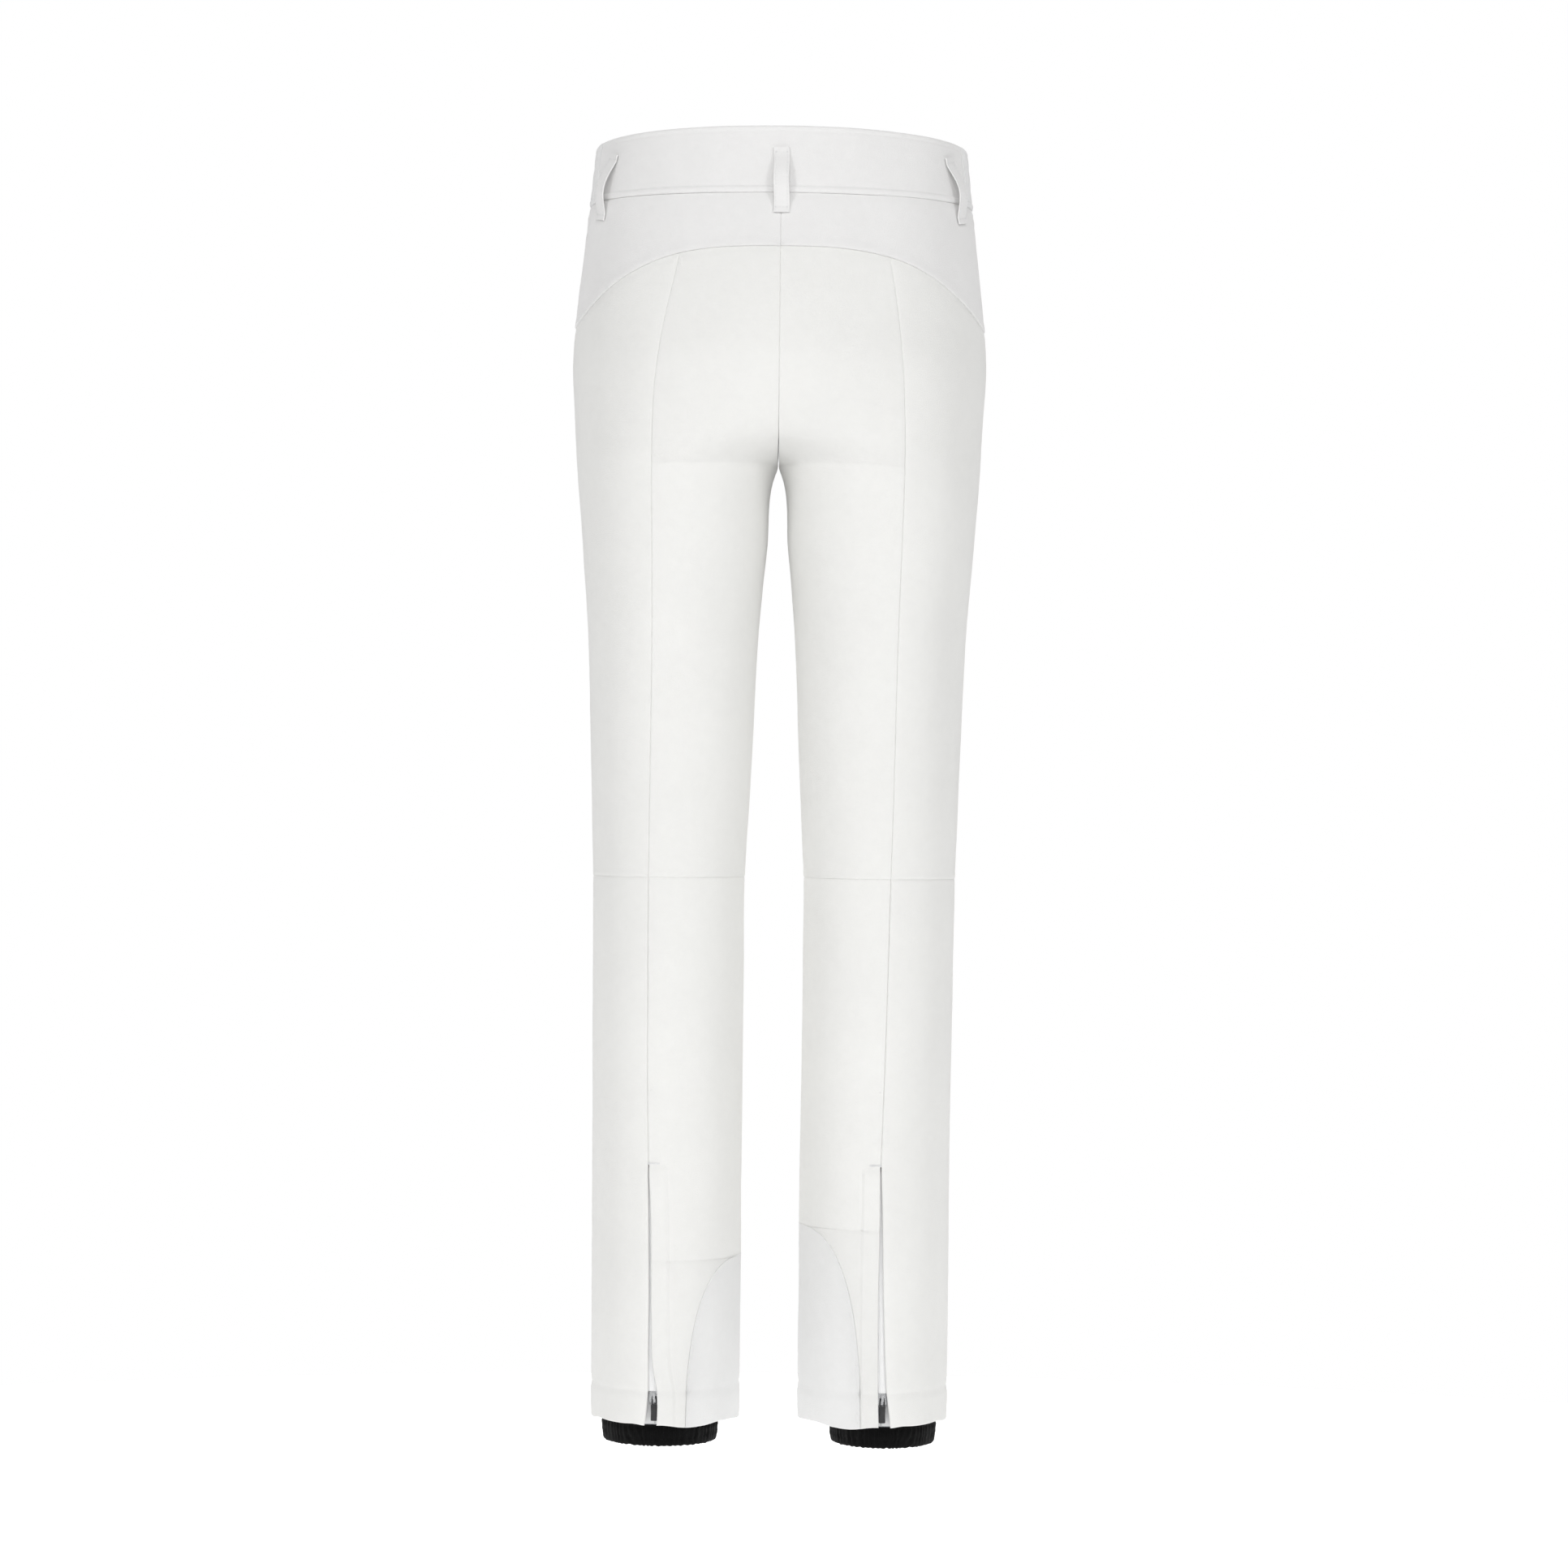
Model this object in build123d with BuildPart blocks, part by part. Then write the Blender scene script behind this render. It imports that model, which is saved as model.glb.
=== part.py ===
"""Softshell ski pants with a contoured waistband, zipped hems and elastic snow gaiters.

Millimetres. +Z is up, the front of the garment faces -Y and the wearer's left is +X.
The origin is the middle of the waist opening, level with the waistband's top at the sides.
The garment keeps the shape of the body that wears it: every cloth piece is a thin shell.
Left pieces are made once and mirrored to the right across the YZ plane.
"""
from build123d import *
import os
from collections import namedtuple
from math import cos, radians, sin, sqrt, tan

# One horizontal girth: its level, the middle of the ellipse, half its width and half its depth.
Girth = namedtuple("Girth", "z cx cy a b")
# A zip: the plane of its tape (x across, y up the chain, z outwards), the chain's length,
# where the slider rests along it, and how far the slider travels up (+) or down (-).
Zip = namedtuple("Zip", "plane length rest travel")

# ---- driving dimensions: levels below the top of the waistband ----
SEAM_DROP = 48.0        # waistband seam at the sides
HIP_DROP = 180.0        # fullest part of the seat
RISE = 261.0            # crotch
KNEE_DROP = 598.0
HEM_DROP = 1041.0
GAITER_DROP = 1061.0    # lower edge of the snow gaiter

# ---- driving dimensions: half widths and half depths ----
WAIST_HALF_WIDTH, WAIST_HALF_DEPTH = 152.0, 102.0
SEAM_HALF_WIDTH, SEAM_HALF_DEPTH = 156.9, 108.0
HIP_HALF_WIDTH, HIP_HALF_DEPTH = 170.2, 117.5
THIGH_HALF_WIDTH, THIGH_HALF_DEPTH = 83.0, 98.0
KNEE_HALF_WIDTH, KNEE_HALF_DEPTH = 62.8, 72.0
HEM_HALF_WIDTH, HEM_HALF_DEPTH = 61.0, 84.0
LEG_GAP = 48.0          # between the legs at the hem

# ---- cloth ----
SHELL = 1.8             # softshell thickness
BAND = 3.6              # doubled cloth and interlining of the waistband
LAP_GAP = 0.3           # between layers that lie on each other and come apart
STANDOFF = 0.4          # stitched-on pieces above the cloth that they are sewn to
REACH = 400.0           # longer than the garment is wide or deep: cutters reach this far

# ---- waistband, cut in side view as arcs: (y, drop) at the front, side and back ----
BAND_TOP = [(-115.0, 16.0), (0.0, 0.0), (115.0, -9.0)]
BAND_SEAM = [(-120.0, 62.0), (0.0, SEAM_DROP), (120.0, 49.5)]
ELASTIC_BACK, ELASTIC_FRONT = 10.0, -34.0   # elastic insert, degrees round the side
TAB_ROOT, TAB_END = 45.0, -6.0              # fastening tab, across the centre front
TAB_LAYER = 1.7
UNDERLAP_END = 40.0
FACING_GAP, FACING = 0.3, 1.0               # brushed lining band inside the waistband

# ---- seams ----
SEAM_Y = 5.0            # side seams and inseams lie in this plane
YOKE_DROP, YOKE_FALL, YOKE_POWER = 90.0, 57.0, 3.4
PRINCESS = [(84, -84), (91, -130), (98.5, -190), (101.7, -290), (100, -410), (98.2, -598)]
PRINCESS_BELOW_KNEE = [(98.2, -598), (97.2, -700), (95.6, -790)]
GUARD_WIDTH, GUARD_HEIGHT = 48.0, 157.0     # scuff guard at the inner ankle
HEM_ALLOWANCE, HEM_FACING = 28.0, 1.4

# ---- zips ----
HEM_ZIP_ANGLE = 83.0    # round the leg from +X
HEM_ZIP_LENGTH = 210.0
SLIT_TOP, SLIT_HEM = 2.8, 4.9               # half widths of the hem vent
FLY_TOP_DROP, FLY_LENGTH = 66.0, 116.0
POCKET_TOP, POCKET_LOW = (112.0, -80.0), (135.0, -205.0)    # (x, z) of the pocket zip's ends
POCKET_WINDOW = 6.0     # half width
RECESS = 6.2            # tape below the outer face, in the hem vents and the fly
POCKET_RECESS = 5.0
TAPE_WIDTH, TAPE = 15.5, 0.6
COIL_WIDTH, COIL_HEIGHT, COIL_GAP = 2.5, 1.9, 0.4
GUSSET_WIDTH, GUSSET, GUSSET_DEPTH = 34.0, 0.8, 3.2
SLIDER_LENGTH, SLIDER_WIDTH, SLIDER_PLATE = 10.0, 8.6, 0.9
SLIDER_CLEARANCE = 0.3
NECK_WIDTH, NECK_LENGTH = 0.5, 3.0
BRIDGE_WIDTH, BRIDGE_LENGTH = 2.0, 5.0
PIN_RADIUS, PIN_CLEARANCE = 0.5, 0.08
PULLER_WIDTH, PULLER_LENGTH, PULLER = 4.4, 19.0, 1.4
ARM_WIDTH, ARM_LENGTH = 0.85, 5.0

# ---- fastenings and loops ----
SNAP_X, SNAP_DROPS = 9.0, (27.0, 47.0)
CAP_RADIUS, CAP = 6.0, 1.4
BARREL_RADIUS, SOCKET_RADIUS, STUD_RADIUS = 2.7, 2.0, 1.75
STUD_BASE_RADIUS, STUD_BASE = 4.6, 0.8
LOOP_WIDTH, LOOP_THICKNESS, LOOP_BOW, LOOP_FOOT = 13.0, 1.5, 6.2, 7.0
LOOP_TOP_DROP, LOOP_FOOT_DROP = 10.0, 63.0
LOOP_ANGLES = {"back_center": 90.0, "back_left": 25.0, "back_right": 155.0,
               "front_left": -62.0, "front_right": -118.0}
HANGER_WIDTH, HANGER_HEIGHT, HANGER_TAPE, HANGER_THICKNESS = 22.0, 70.0, 5.0, 1.0
HANGER_DROP = 22.0

# ---- pocket bags and gaiters ----
BAG_DEPTH, BAG = 9.6, 1.4
BAG_INNER_X, BAG_OUTER_X, BAG_TOP, BAG_BOTTOM = 52.0, 150.0, -68.0, -262.0
SLEEVE = 0.8
SLEEVE_TOP_DROP, SLEEVE_NECK_DROP = 790.0, 824.0
SLEEVE_NECK_HALF_WIDTH, SLEEVE_NECK_HALF_DEPTH = 55.0, 62.0
CUFF_HEIGHT, CUFF = 40.0, 2.2
CUFF_HALF_WIDTH, CUFF_HALF_DEPTH = 46.5, 57.0
CUFF_X, CUFF_Y = 91.0, 3.0

KNEE_X = HEM_HALF_WIDTH + LEG_GAP / 2 + 1.8
HEM_X = HEM_HALF_WIDTH + LEG_GAP / 2

WAIST_TOP = Girth(0.0, 0.0, 1.0, WAIST_HALF_WIDTH, WAIST_HALF_DEPTH)
WAIST_SEAM = Girth(-SEAM_DROP, 0.0, 2.9, SEAM_HALF_WIDTH, SEAM_HALF_DEPTH)
HIP = Girth(-HIP_DROP, 22.0, 7.5, HIP_HALF_WIDTH - 22.0, HIP_HALF_DEPTH)
CROTCH = Girth(-RISE, THIGH_HALF_WIDTH, SEAM_Y, THIGH_HALF_WIDTH, THIGH_HALF_DEPTH)
KNEE = Girth(-KNEE_DROP, KNEE_X, -8.0, KNEE_HALF_WIDTH, KNEE_HALF_DEPTH)
HEM = Girth(-HEM_DROP, HEM_X, 4.0, HEM_HALF_WIDTH, HEM_HALF_DEPTH)


def between(upper, lower, share):
    """The girth at a share of the way down from one girth to another."""
    return Girth(*[u + share * (w - u) for u, w in zip(upper, lower)])


def at_level(upper, lower, z):
    """The girth at level z on the straight line through two girths."""
    return between(upper, lower, (z - upper.z) / (lower.z - upper.z))


# Girths of one half of the body, from under the waistband to the knee. Above the crotch the
# ellipses of the two halves overlap, and each is cut off at the centre plane.
BODY_GIRTHS = [
    at_level(WAIST_TOP, WAIST_SEAM, -SEAM_DROP + 14.0),
    Girth(-95.0, 0.0, 5.0, SEAM_HALF_WIDTH + 6.1, SEAM_HALF_DEPTH + 5.0),
    Girth(-146.0, 6.0, 7.0, HIP_HALF_WIDTH - 8.0, HIP_HALF_DEPTH - 0.5),
    HIP,
    between(HIP, CROTCH, 0.43),
    between(HIP, CROTCH, 0.75),
    CROTCH,
    Girth(-330.0, THIGH_HALF_WIDTH + 1.8, 2.0, THIGH_HALF_WIDTH - 6.7, THIGH_HALF_DEPTH - 8.0),
    Girth(-400.0, KNEE_X - 1.5, -2.0, KNEE_HALF_WIDTH + 7.8, KNEE_HALF_DEPTH + 12.0),
    Girth(-500.0, KNEE_X - 0.8, -6.0, KNEE_HALF_WIDTH + 4.2, KNEE_HALF_DEPTH + 5.0),
    KNEE,
]
# Below the knee the leg is straight from the knee seam to the hem.
LOWER_GIRTHS = [KNEE, HEM]


def smoothed(girths, steps):
    """A longer list of girths on a smooth curve through the given ones."""
    ends = [girths[0]] + list(girths) + [girths[-1]]
    out = []
    for before, upper, lower, after in zip(ends, ends[1:], ends[2:], ends[3:]):
        run = lower.z - upper.z
        for i in range(steps):
            t = i / steps
            row = []
            for k, (p, u, w, n) in enumerate(zip(before, upper, lower, after)):
                start = run * (w - p) / (lower.z - before.z)
                end = run * (n - u) / (after.z - upper.z)
                bend = (2 * t ** 3 - 3 * t ** 2 + 1) * u + (t ** 3 - 2 * t ** 2 + t) * start
                bend += (3 * t ** 2 - 2 * t ** 3) * w + (t ** 3 - t ** 2) * end
                row.append(u + t * run if k == 0 else bend)
            out.append(Girth(*row))
    return out + [girths[-1]]


UPPER_GIRTHS = smoothed(BODY_GIRTHS, 3)


def girth_at(z):
    """The body's girth at any level, on straight lines between the listed girths."""
    girths = UPPER_GIRTHS + [HEM]
    for upper, lower in zip(girths, girths[1:]):
        if z >= lower.z:
            return at_level(upper, lower, z)
    return at_level(KNEE, HEM, z)


def yoke_z(x):
    """Level of the curved seam under the back yoke, at x from the centre back."""
    return -YOKE_DROP - YOKE_FALL * (abs(x) / (HIP_HALF_WIDTH - 3.0)) ** YOKE_POWER


def on_girth(girth, angle):
    """The point of a girth at an angle from +X, in degrees."""
    turn = radians(angle)
    return Vector(girth.cx + girth.a * cos(turn), girth.cy + girth.b * sin(turn), girth.z)


def front_of_girth(girth, x):
    """The point of a girth's front at x."""
    return Vector(x, girth.cy - girth.b * sqrt(1 - ((x - girth.cx) / girth.a) ** 2), girth.z)


def outward(girth, point):
    """The direction straight out of a girth at one of its points."""
    return Vector((point.X - girth.cx) / girth.a ** 2, (point.Y - girth.cy) / girth.b ** 2, 0)


def standing_plane(low, high, out):
    """A plane at the low point, whose y runs to the high point and whose z points outwards."""
    along = (high - low).normalized()
    normal = (out - along * out.dot(along)).normalized()
    return Plane(origin=low, x_dir=along.cross(normal), z_dir=normal)


def place_hem_zip():
    low = on_girth(HEM, HEM_ZIP_ANGLE)
    top = at_level(KNEE, HEM, HEM.z + HEM_ZIP_LENGTH)
    plane = standing_plane(low, on_girth(top, HEM_ZIP_ANGLE), outward(HEM, low))
    return Zip(plane.offset(-RECESS), HEM_ZIP_LENGTH, 24.0, HEM_ZIP_LENGTH - 24.0 - 12.0)


def place_fly_zip():
    top_girth, low_girth = girth_at(-FLY_TOP_DROP), girth_at(-FLY_TOP_DROP - FLY_LENGTH)
    low, high = front_of_girth(low_girth, 0.0), front_of_girth(top_girth, 0.0)
    plane = standing_plane(low, high, Vector(0, -1, 0))
    rest = FLY_LENGTH - SLIDER_LENGTH / 2 - 2.0
    return Zip(plane.offset(-RECESS), FLY_LENGTH, rest, -(rest - PULLER_LENGTH - 4.0))


def place_pocket_zip():
    low = front_of_girth(girth_at(POCKET_LOW[1]), POCKET_LOW[0])
    high = front_of_girth(girth_at(POCKET_TOP[1]), POCKET_TOP[0])
    middle = (low + high) * 0.5
    plane = standing_plane(low, high, outward(girth_at(middle.Z), middle))
    length = (high - low).length
    rest = length - SLIDER_LENGTH / 2 - 3.0
    return Zip(plane.offset(-POCKET_RECESS), length, rest, -(rest - PULLER_LENGTH - 6.0))


HEM_ZIP = place_hem_zip()
FLY_ZIP = place_fly_zip()
POCKET_ZIP = place_pocket_zip()


# ---- shells ----
def tube(girths, inset):
    """The solid inside a stack of girths, each drawn in by the inset and drawn as four arcs."""
    with BuildPart() as solid:
        for girth in girths:
            with BuildSketch(Plane.XY.offset(girth.z)):
                with BuildLine():
                    for start in (0, 90, 180, 270):
                        EllipticalCenterArc((girth.cx, girth.cy), girth.a - inset,
                                            girth.b - inset, start, arc_size=90)
                make_face()
        loft(ruled=True)
    return solid


def shell_of(girths, outer_inset, thickness):
    """The skin between two insets of a stack of girths."""
    with BuildPart() as skin:
        add(tube(girths, outer_inset).part)
        add(tube(girths, outer_inset + thickness).part, mode=Mode.SUBTRACT)
    return skin


def side_cut(shape, top, bottom):
    """What of a shape lies between two arcs drawn in side view, as (y, drop) points."""
    with BuildPart() as cut:
        add(shape.part)
        with BuildSketch(Plane.YZ.offset(-REACH)):
            with BuildLine():
                upper = ThreePointArc(*[(y, -drop) for y, drop in top])
                lower = ThreePointArc(*[(y, -drop) for y, drop in bottom])
                Line(upper @ 0, lower @ 0)
                Line(upper @ 1, lower @ 1)
            make_face()
        extrude(amount=2 * REACH, mode=Mode.INTERSECT)
    return cut


def wide(arc, drop=0.0):
    """A side-view arc let down by a drop and drawn out in line past the garment."""
    (y0, d0), (y1, d1), (y2, d2) = arc
    return [(y0 * 1.6, d0 + (d0 - d1) * 0.6 + drop), (y1, d1 + drop),
            (y2 * 1.6, d2 + (d2 - d1) * 0.6 + drop)]


def plan_cut(shape, corners):
    """What of a shape lies over a polygon drawn in plan."""
    with BuildPart() as cut:
        add(shape.part)
        with BuildSketch(Plane.XY.offset(-REACH)):
            with BuildLine():
                Polyline(*corners, close=True)
            make_face()
        extrude(amount=2 * REACH, mode=Mode.INTERSECT)
    return cut


def wedge(start, end):
    """Plan corners of the sector between two angles, in degrees, round the waist."""
    steps = 4
    turns = [radians(start + (end - start) * i / steps) for i in range(steps + 1)]
    return [(0, 0)] + [(REACH * cos(t), REACH * sin(t)) for t in turns]


def face_cut(shape, sketch, front, back, mode=Mode.INTERSECT):
    """A shape cut by an outline drawn in the XZ plane, from y = front to y = back."""
    with BuildPart() as cut:
        add(shape.part)
        with BuildSketch(Plane.XZ.offset(-back)):
            add(sketch)
        extrude(amount=back - front, mode=mode)
    return cut


def slot_cut(shape, zip_place, low, high, half_width):
    """A shape with a straight window cut over a zip's chain."""
    with BuildPart() as cut:
        add(shape.part)
        with BuildSketch(zip_place.plane):
            with Locations((0, (low + high) / 2)):
                Rectangle(2 * half_width, high - low)
        extrude(amount=4 * RECESS, mode=Mode.SUBTRACT)
    return cut


# ---- outlines of the panels, in the XZ plane as (x, z) ----
def yoke_outline():
    samples = [i * 0.2 * HIP_HALF_WIDTH for i in range(6)]
    with BuildSketch() as outline:
        with BuildLine():
            seam = Spline(*[(x, yoke_z(x)) for x in samples])
            Polyline(seam @ 1, (REACH, (seam @ 1).Y), (REACH, 0), (0, 0), seam @ 0)
        make_face()
    return outline.sketch


def seat_outline():
    """Everything under the yoke and above the knee seam."""
    samples = [i * 0.2 * HIP_HALF_WIDTH for i in range(6)]
    with BuildSketch() as outline:
        with BuildLine():
            seam = Spline(*[(x, yoke_z(x)) for x in samples])
            Polyline(seam @ 1, (REACH, (seam @ 1).Y), (REACH, -KNEE_DROP), (0, -KNEE_DROP),
                     seam @ 0)
        make_face()
    return outline.sketch


def outside_princess():
    """The side of the princess seam away from the centre, above the knee."""
    with BuildSketch() as outline:
        with BuildLine():
            seam = Spline(*PRINCESS)
            Polyline(seam @ 1, (REACH, -KNEE_DROP), (REACH, PRINCESS[0][1]), seam @ 0)
        make_face()
    return outline.sketch


def zip_edge(side):
    """The hem vent's edge on one side, as its top and hem points in the XZ plane."""
    plane = HEM_ZIP.plane
    top = plane.from_local_coords(Vector(side * SLIT_TOP, HEM_ZIP_LENGTH, RECESS))
    hem = plane.from_local_coords(Vector(side * SLIT_HEM, -2.0, RECESS))
    return (top.X, top.Z), (hem.X, hem.Z)


def below_knee(side):
    """The calf's outline on one side of the princess seam and the hem vent: +1 is the outer."""
    top, hem = zip_edge(-side)      # the plane's x runs towards the inseam
    far = REACH if side > 0 else 0.0
    with BuildSketch() as outline:
        with BuildLine():
            seam = Spline(*PRINCESS_BELOW_KNEE)
            end = seam @ 1
            middle = (HEM_ZIP.plane.from_local_coords(Vector(0, HEM_ZIP_LENGTH, RECESS)))
            Polyline(end, (middle.X, middle.Z), top, hem, (far, hem[1]), (far, -KNEE_DROP),
                     seam @ 0)
        make_face()
    return outline.sketch


def guard_outline():
    """The scuff guard: a quarter ellipse at the inner ankle."""
    inner = HEM_X - HEM_HALF_WIDTH
    base = -HEM_DROP - 1.0
    with BuildSketch() as outline:
        with BuildLine():
            arc = EllipticalCenterArc((inner, base), GUARD_WIDTH, GUARD_HEIGHT, 0, arc_size=90)
            Polyline(arc @ 1, (-10, base + GUARD_HEIGHT), (-10, base), arc @ 0)
        make_face()
    return outline.sketch


# ---- waistband ----
def waistband_layer(inset, thickness):
    """The waistband's skin between two insets, trimmed to its curved top and seam."""
    high = at_level(WAIST_TOP, WAIST_SEAM, 30.0)
    low = at_level(WAIST_TOP, WAIST_SEAM, -90.0)
    return side_cut(shell_of([high, low], inset, thickness),
                    wide(BAND_TOP), wide(BAND_SEAM))


def make_waistband():
    full = waistband_layer(0.0, BAND)
    outer_layer = waistband_layer(0.0, TAB_LAYER)
    under_layer = waistband_layer(TAB_LAYER + LAP_GAP, BAND - TAB_LAYER - LAP_GAP)
    slope = tan(radians(ELASTIC_FRONT))

    def front_of_side(near, side):
        """Plan corners of the waistband in front of the elastic, from near the centre."""
        return [(near, abs(near) * slope), (side * REACH, REACH * slope),
                (side * REACH, -REACH), (near, -REACH)]

    pieces = {"waistband_back": plan_cut(full, wedge(ELASTIC_BACK, 180.0 - ELASTIC_BACK)),
              "waist_elastic_left": plan_cut(full, wedge(ELASTIC_FRONT, ELASTIC_BACK))}
    pieces["waist_elastic_right"] = mirrored(pieces["waist_elastic_left"])
    pieces["waistband_front_left"] = plan_cut(full, front_of_side(TAB_ROOT, 1))
    tab = side_cut(outer_layer, wide(BAND_TOP), wide(BAND_SEAM, -2 * LAP_GAP))
    pieces["waist_tab"] = plan_cut(tab, [(TAB_ROOT - LAP_GAP, 0), (TAB_END, 0),
                                         (TAB_END, -REACH), (TAB_ROOT - LAP_GAP, -REACH)])
    start = TAB_END - LAP_GAP
    with BuildPart() as right:
        add(plan_cut(full, front_of_side(start, -1)).part)
        add(plan_cut(under_layer, [(start - 1.0, 0), (UNDERLAP_END, 0),
                                   (UNDERLAP_END, -REACH), (start - 1.0, -REACH)]).part)
    pieces["waistband_front_right"] = right

    facing = waistband_layer(BAND + FACING_GAP, FACING)
    with BuildPart() as lining:
        add(side_cut(facing, wide(BAND_TOP, 3.0), wide(BAND_SEAM)).part)
        with BuildSketch(Plane.XY.offset(-REACH)):
            with Locations(((UNDERLAP_END + TAB_END) / 2, -REACH / 2)):
                Rectangle(UNDERLAP_END - TAB_END + 16.0, REACH)
        extrude(amount=2 * REACH, mode=Mode.SUBTRACT)
    pieces["waist_facing"] = lining
    return pieces


def snap_planes():
    """Where the press studs sit: on the waistband's outer face, z outwards."""
    planes = []
    for drop in SNAP_DROPS:
        girth = at_level(WAIST_TOP, WAIST_SEAM, -drop)
        low = front_of_girth(at_level(WAIST_TOP, WAIST_SEAM, -drop - 10.0), SNAP_X)
        high = front_of_girth(at_level(WAIST_TOP, WAIST_SEAM, -drop + 10.0), SNAP_X)
        out = outward(girth, front_of_girth(girth, SNAP_X))
        plane = standing_plane(low, high, out)
        planes.append(Plane(origin=(low + high) * 0.5, x_dir=plane.x_dir, z_dir=plane.z_dir))
    return planes


def drill(shape, radius):
    """A shape with a round hole through it at each press stud."""
    with BuildPart() as drilled:
        add(shape.part)
        for plane in snap_planes():
            with BuildSketch(plane.offset(-2 * BAND)):
                Circle(radius)
            extrude(amount=4 * BAND, mode=Mode.SUBTRACT)
    return drilled


def make_snaps():
    """Caps with their sockets in the tab, and the studs on the underlap that they press on."""
    with BuildPart() as caps:
        for plane in snap_planes():
            with BuildSketch(plane.offset(STANDOFF / 2)):
                Circle(CAP_RADIUS)
            extrude(amount=CAP, taper=20)
            with BuildSketch(plane.offset(STANDOFF / 2)):
                Circle(BARREL_RADIUS)
            extrude(amount=-TAB_LAYER - STANDOFF / 2)
            with BuildSketch(plane.offset(-TAB_LAYER - 1.0)):
                Circle(SOCKET_RADIUS)
            extrude(amount=TAB_LAYER + 0.8, mode=Mode.SUBTRACT)
    with BuildPart() as studs:
        for plane in snap_planes():
            with BuildSketch(plane.offset(-BAND - STANDOFF)):
                Circle(STUD_BASE_RADIUS)
            extrude(amount=-STUD_BASE)
            with BuildSketch(plane.offset(-BAND - STANDOFF)):
                Circle(STUD_RADIUS)
            extrude(amount=BAND + STANDOFF - 0.6)
    return {"snap_caps": caps, "snap_studs": studs}


def make_belt_loop(angle):
    """A strip sewn down at both ends that bows out between them, for a belt to pass behind."""
    low = on_girth(girth_at(-LOOP_FOOT_DROP), angle)
    high = on_girth(at_level(WAIST_TOP, WAIST_SEAM, -LOOP_TOP_DROP), angle)
    plane = standing_plane(low, high, outward(girth_at(-SEAM_DROP), low))
    length = (high - low).length
    side = Plane(origin=plane.origin - plane.x_dir * LOOP_WIDTH / 2, x_dir=plane.y_dir,
                 z_dir=plane.x_dir)
    with BuildPart() as loop:
        with BuildSketch(side):
            with BuildLine():
                rows = []
                for lift in (STANDOFF, STANDOFF + LOOP_THICKNESS):
                    rows.append(Spline((0, lift), (LOOP_FOOT, lift + 0.2),
                                       (length / 2, lift + LOOP_BOW),
                                       (length - LOOP_FOOT, lift + 0.2), (length, lift),
                                       tangents=[(1, 0), (1, 0)]))
                Line(rows[0] @ 0, rows[1] @ 0)
                Line(rows[0] @ 1, rows[1] @ 1)
            make_face()
        extrude(amount=LOOP_WIDTH)
    return loop


def make_hanger_loops():
    """Two tape loops inside the waist, one at each side seam."""
    girth = at_level(WAIST_TOP, WAIST_SEAM, -HANGER_DROP)
    x = girth.a - BAND - FACING_GAP - FACING - 2 * HANGER_THICKNESS
    with BuildPart() as loops:
        with BuildSketch(Plane.YZ.offset(x)):
            with Locations((SEAM_Y, -HANGER_DROP - HANGER_HEIGHT / 2)):
                SlotOverall(HANGER_HEIGHT, HANGER_WIDTH, rotation=90)
                SlotOverall(HANGER_HEIGHT - 2 * HANGER_TAPE, HANGER_WIDTH - 2 * HANGER_TAPE,
                            rotation=90, mode=Mode.SUBTRACT)
        extrude(amount=HANGER_THICKNESS)
        mirror(about=Plane.YZ)
    return loops


# ---- body and legs ----
def make_upper_panels():
    """Yoke, seat, back side and front panels of the left half."""
    with BuildPart() as half:
        add(shell_of(UPPER_GIRTHS, 0.0, SHELL).part)
        split(bisect_by=Plane.YZ, keep=Keep.TOP)
    knee = [(y, KNEE_DROP + 10.0) for y, _ in wide(BAND_SEAM)]
    knee[1] = (0.0, KNEE_DROP + 60.0)
    body = side_cut(half, wide(BAND_SEAM), knee)
    seat = face_cut(body, seat_outline(), SEAM_Y, REACH)
    back_side = face_cut(seat, outside_princess(), SEAM_Y, REACH)
    centre = face_cut(seat, outside_princess(), SEAM_Y, REACH, Mode.SUBTRACT)
    with BuildSketch() as all_over:
        with Locations((0, -KNEE_DROP / 2)):
            Rectangle(2 * REACH, KNEE_DROP + 2 * SHELL)
    front = face_cut(body, all_over.sketch, -REACH, SEAM_Y)
    front = slot_cut(front, FLY_ZIP, 0.0, FLY_LENGTH + 20.0, SLIT_TOP)
    front = slot_cut(front, POCKET_ZIP, 3.0, POCKET_ZIP.length - 1.0, POCKET_WINDOW)
    return {"back_yoke": face_cut(body, yoke_outline(), SEAM_Y, REACH),
            "seat_panel": centre, "back_side_panel": back_side, "front_panel": front}


def make_lower_panels():
    """Calf, shin and scuff guard panels of the left leg."""
    leg = shell_of(LOWER_GIRTHS, 0.0, SHELL)
    inner = face_cut(leg, below_knee(-1), SEAM_Y, REACH)
    outer = face_cut(leg, below_knee(+1), SEAM_Y, REACH)
    with BuildSketch() as all_over:
        with Locations((REACH / 2, -(KNEE_DROP + HEM_DROP) / 2)):
            Rectangle(REACH, HEM_DROP - KNEE_DROP + 2 * SHELL)
    shin = face_cut(leg, all_over.sketch, -REACH, SEAM_Y)
    guard = guard_outline()
    return {"calf_inner_panel": face_cut(inner, guard, -REACH, REACH, Mode.SUBTRACT),
            "calf_outer_panel": outer,
            "shin_panel": face_cut(shin, guard, -REACH, REACH, Mode.SUBTRACT),
            "scuff_guard": face_cut(leg, guard, -REACH, REACH)}


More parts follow.
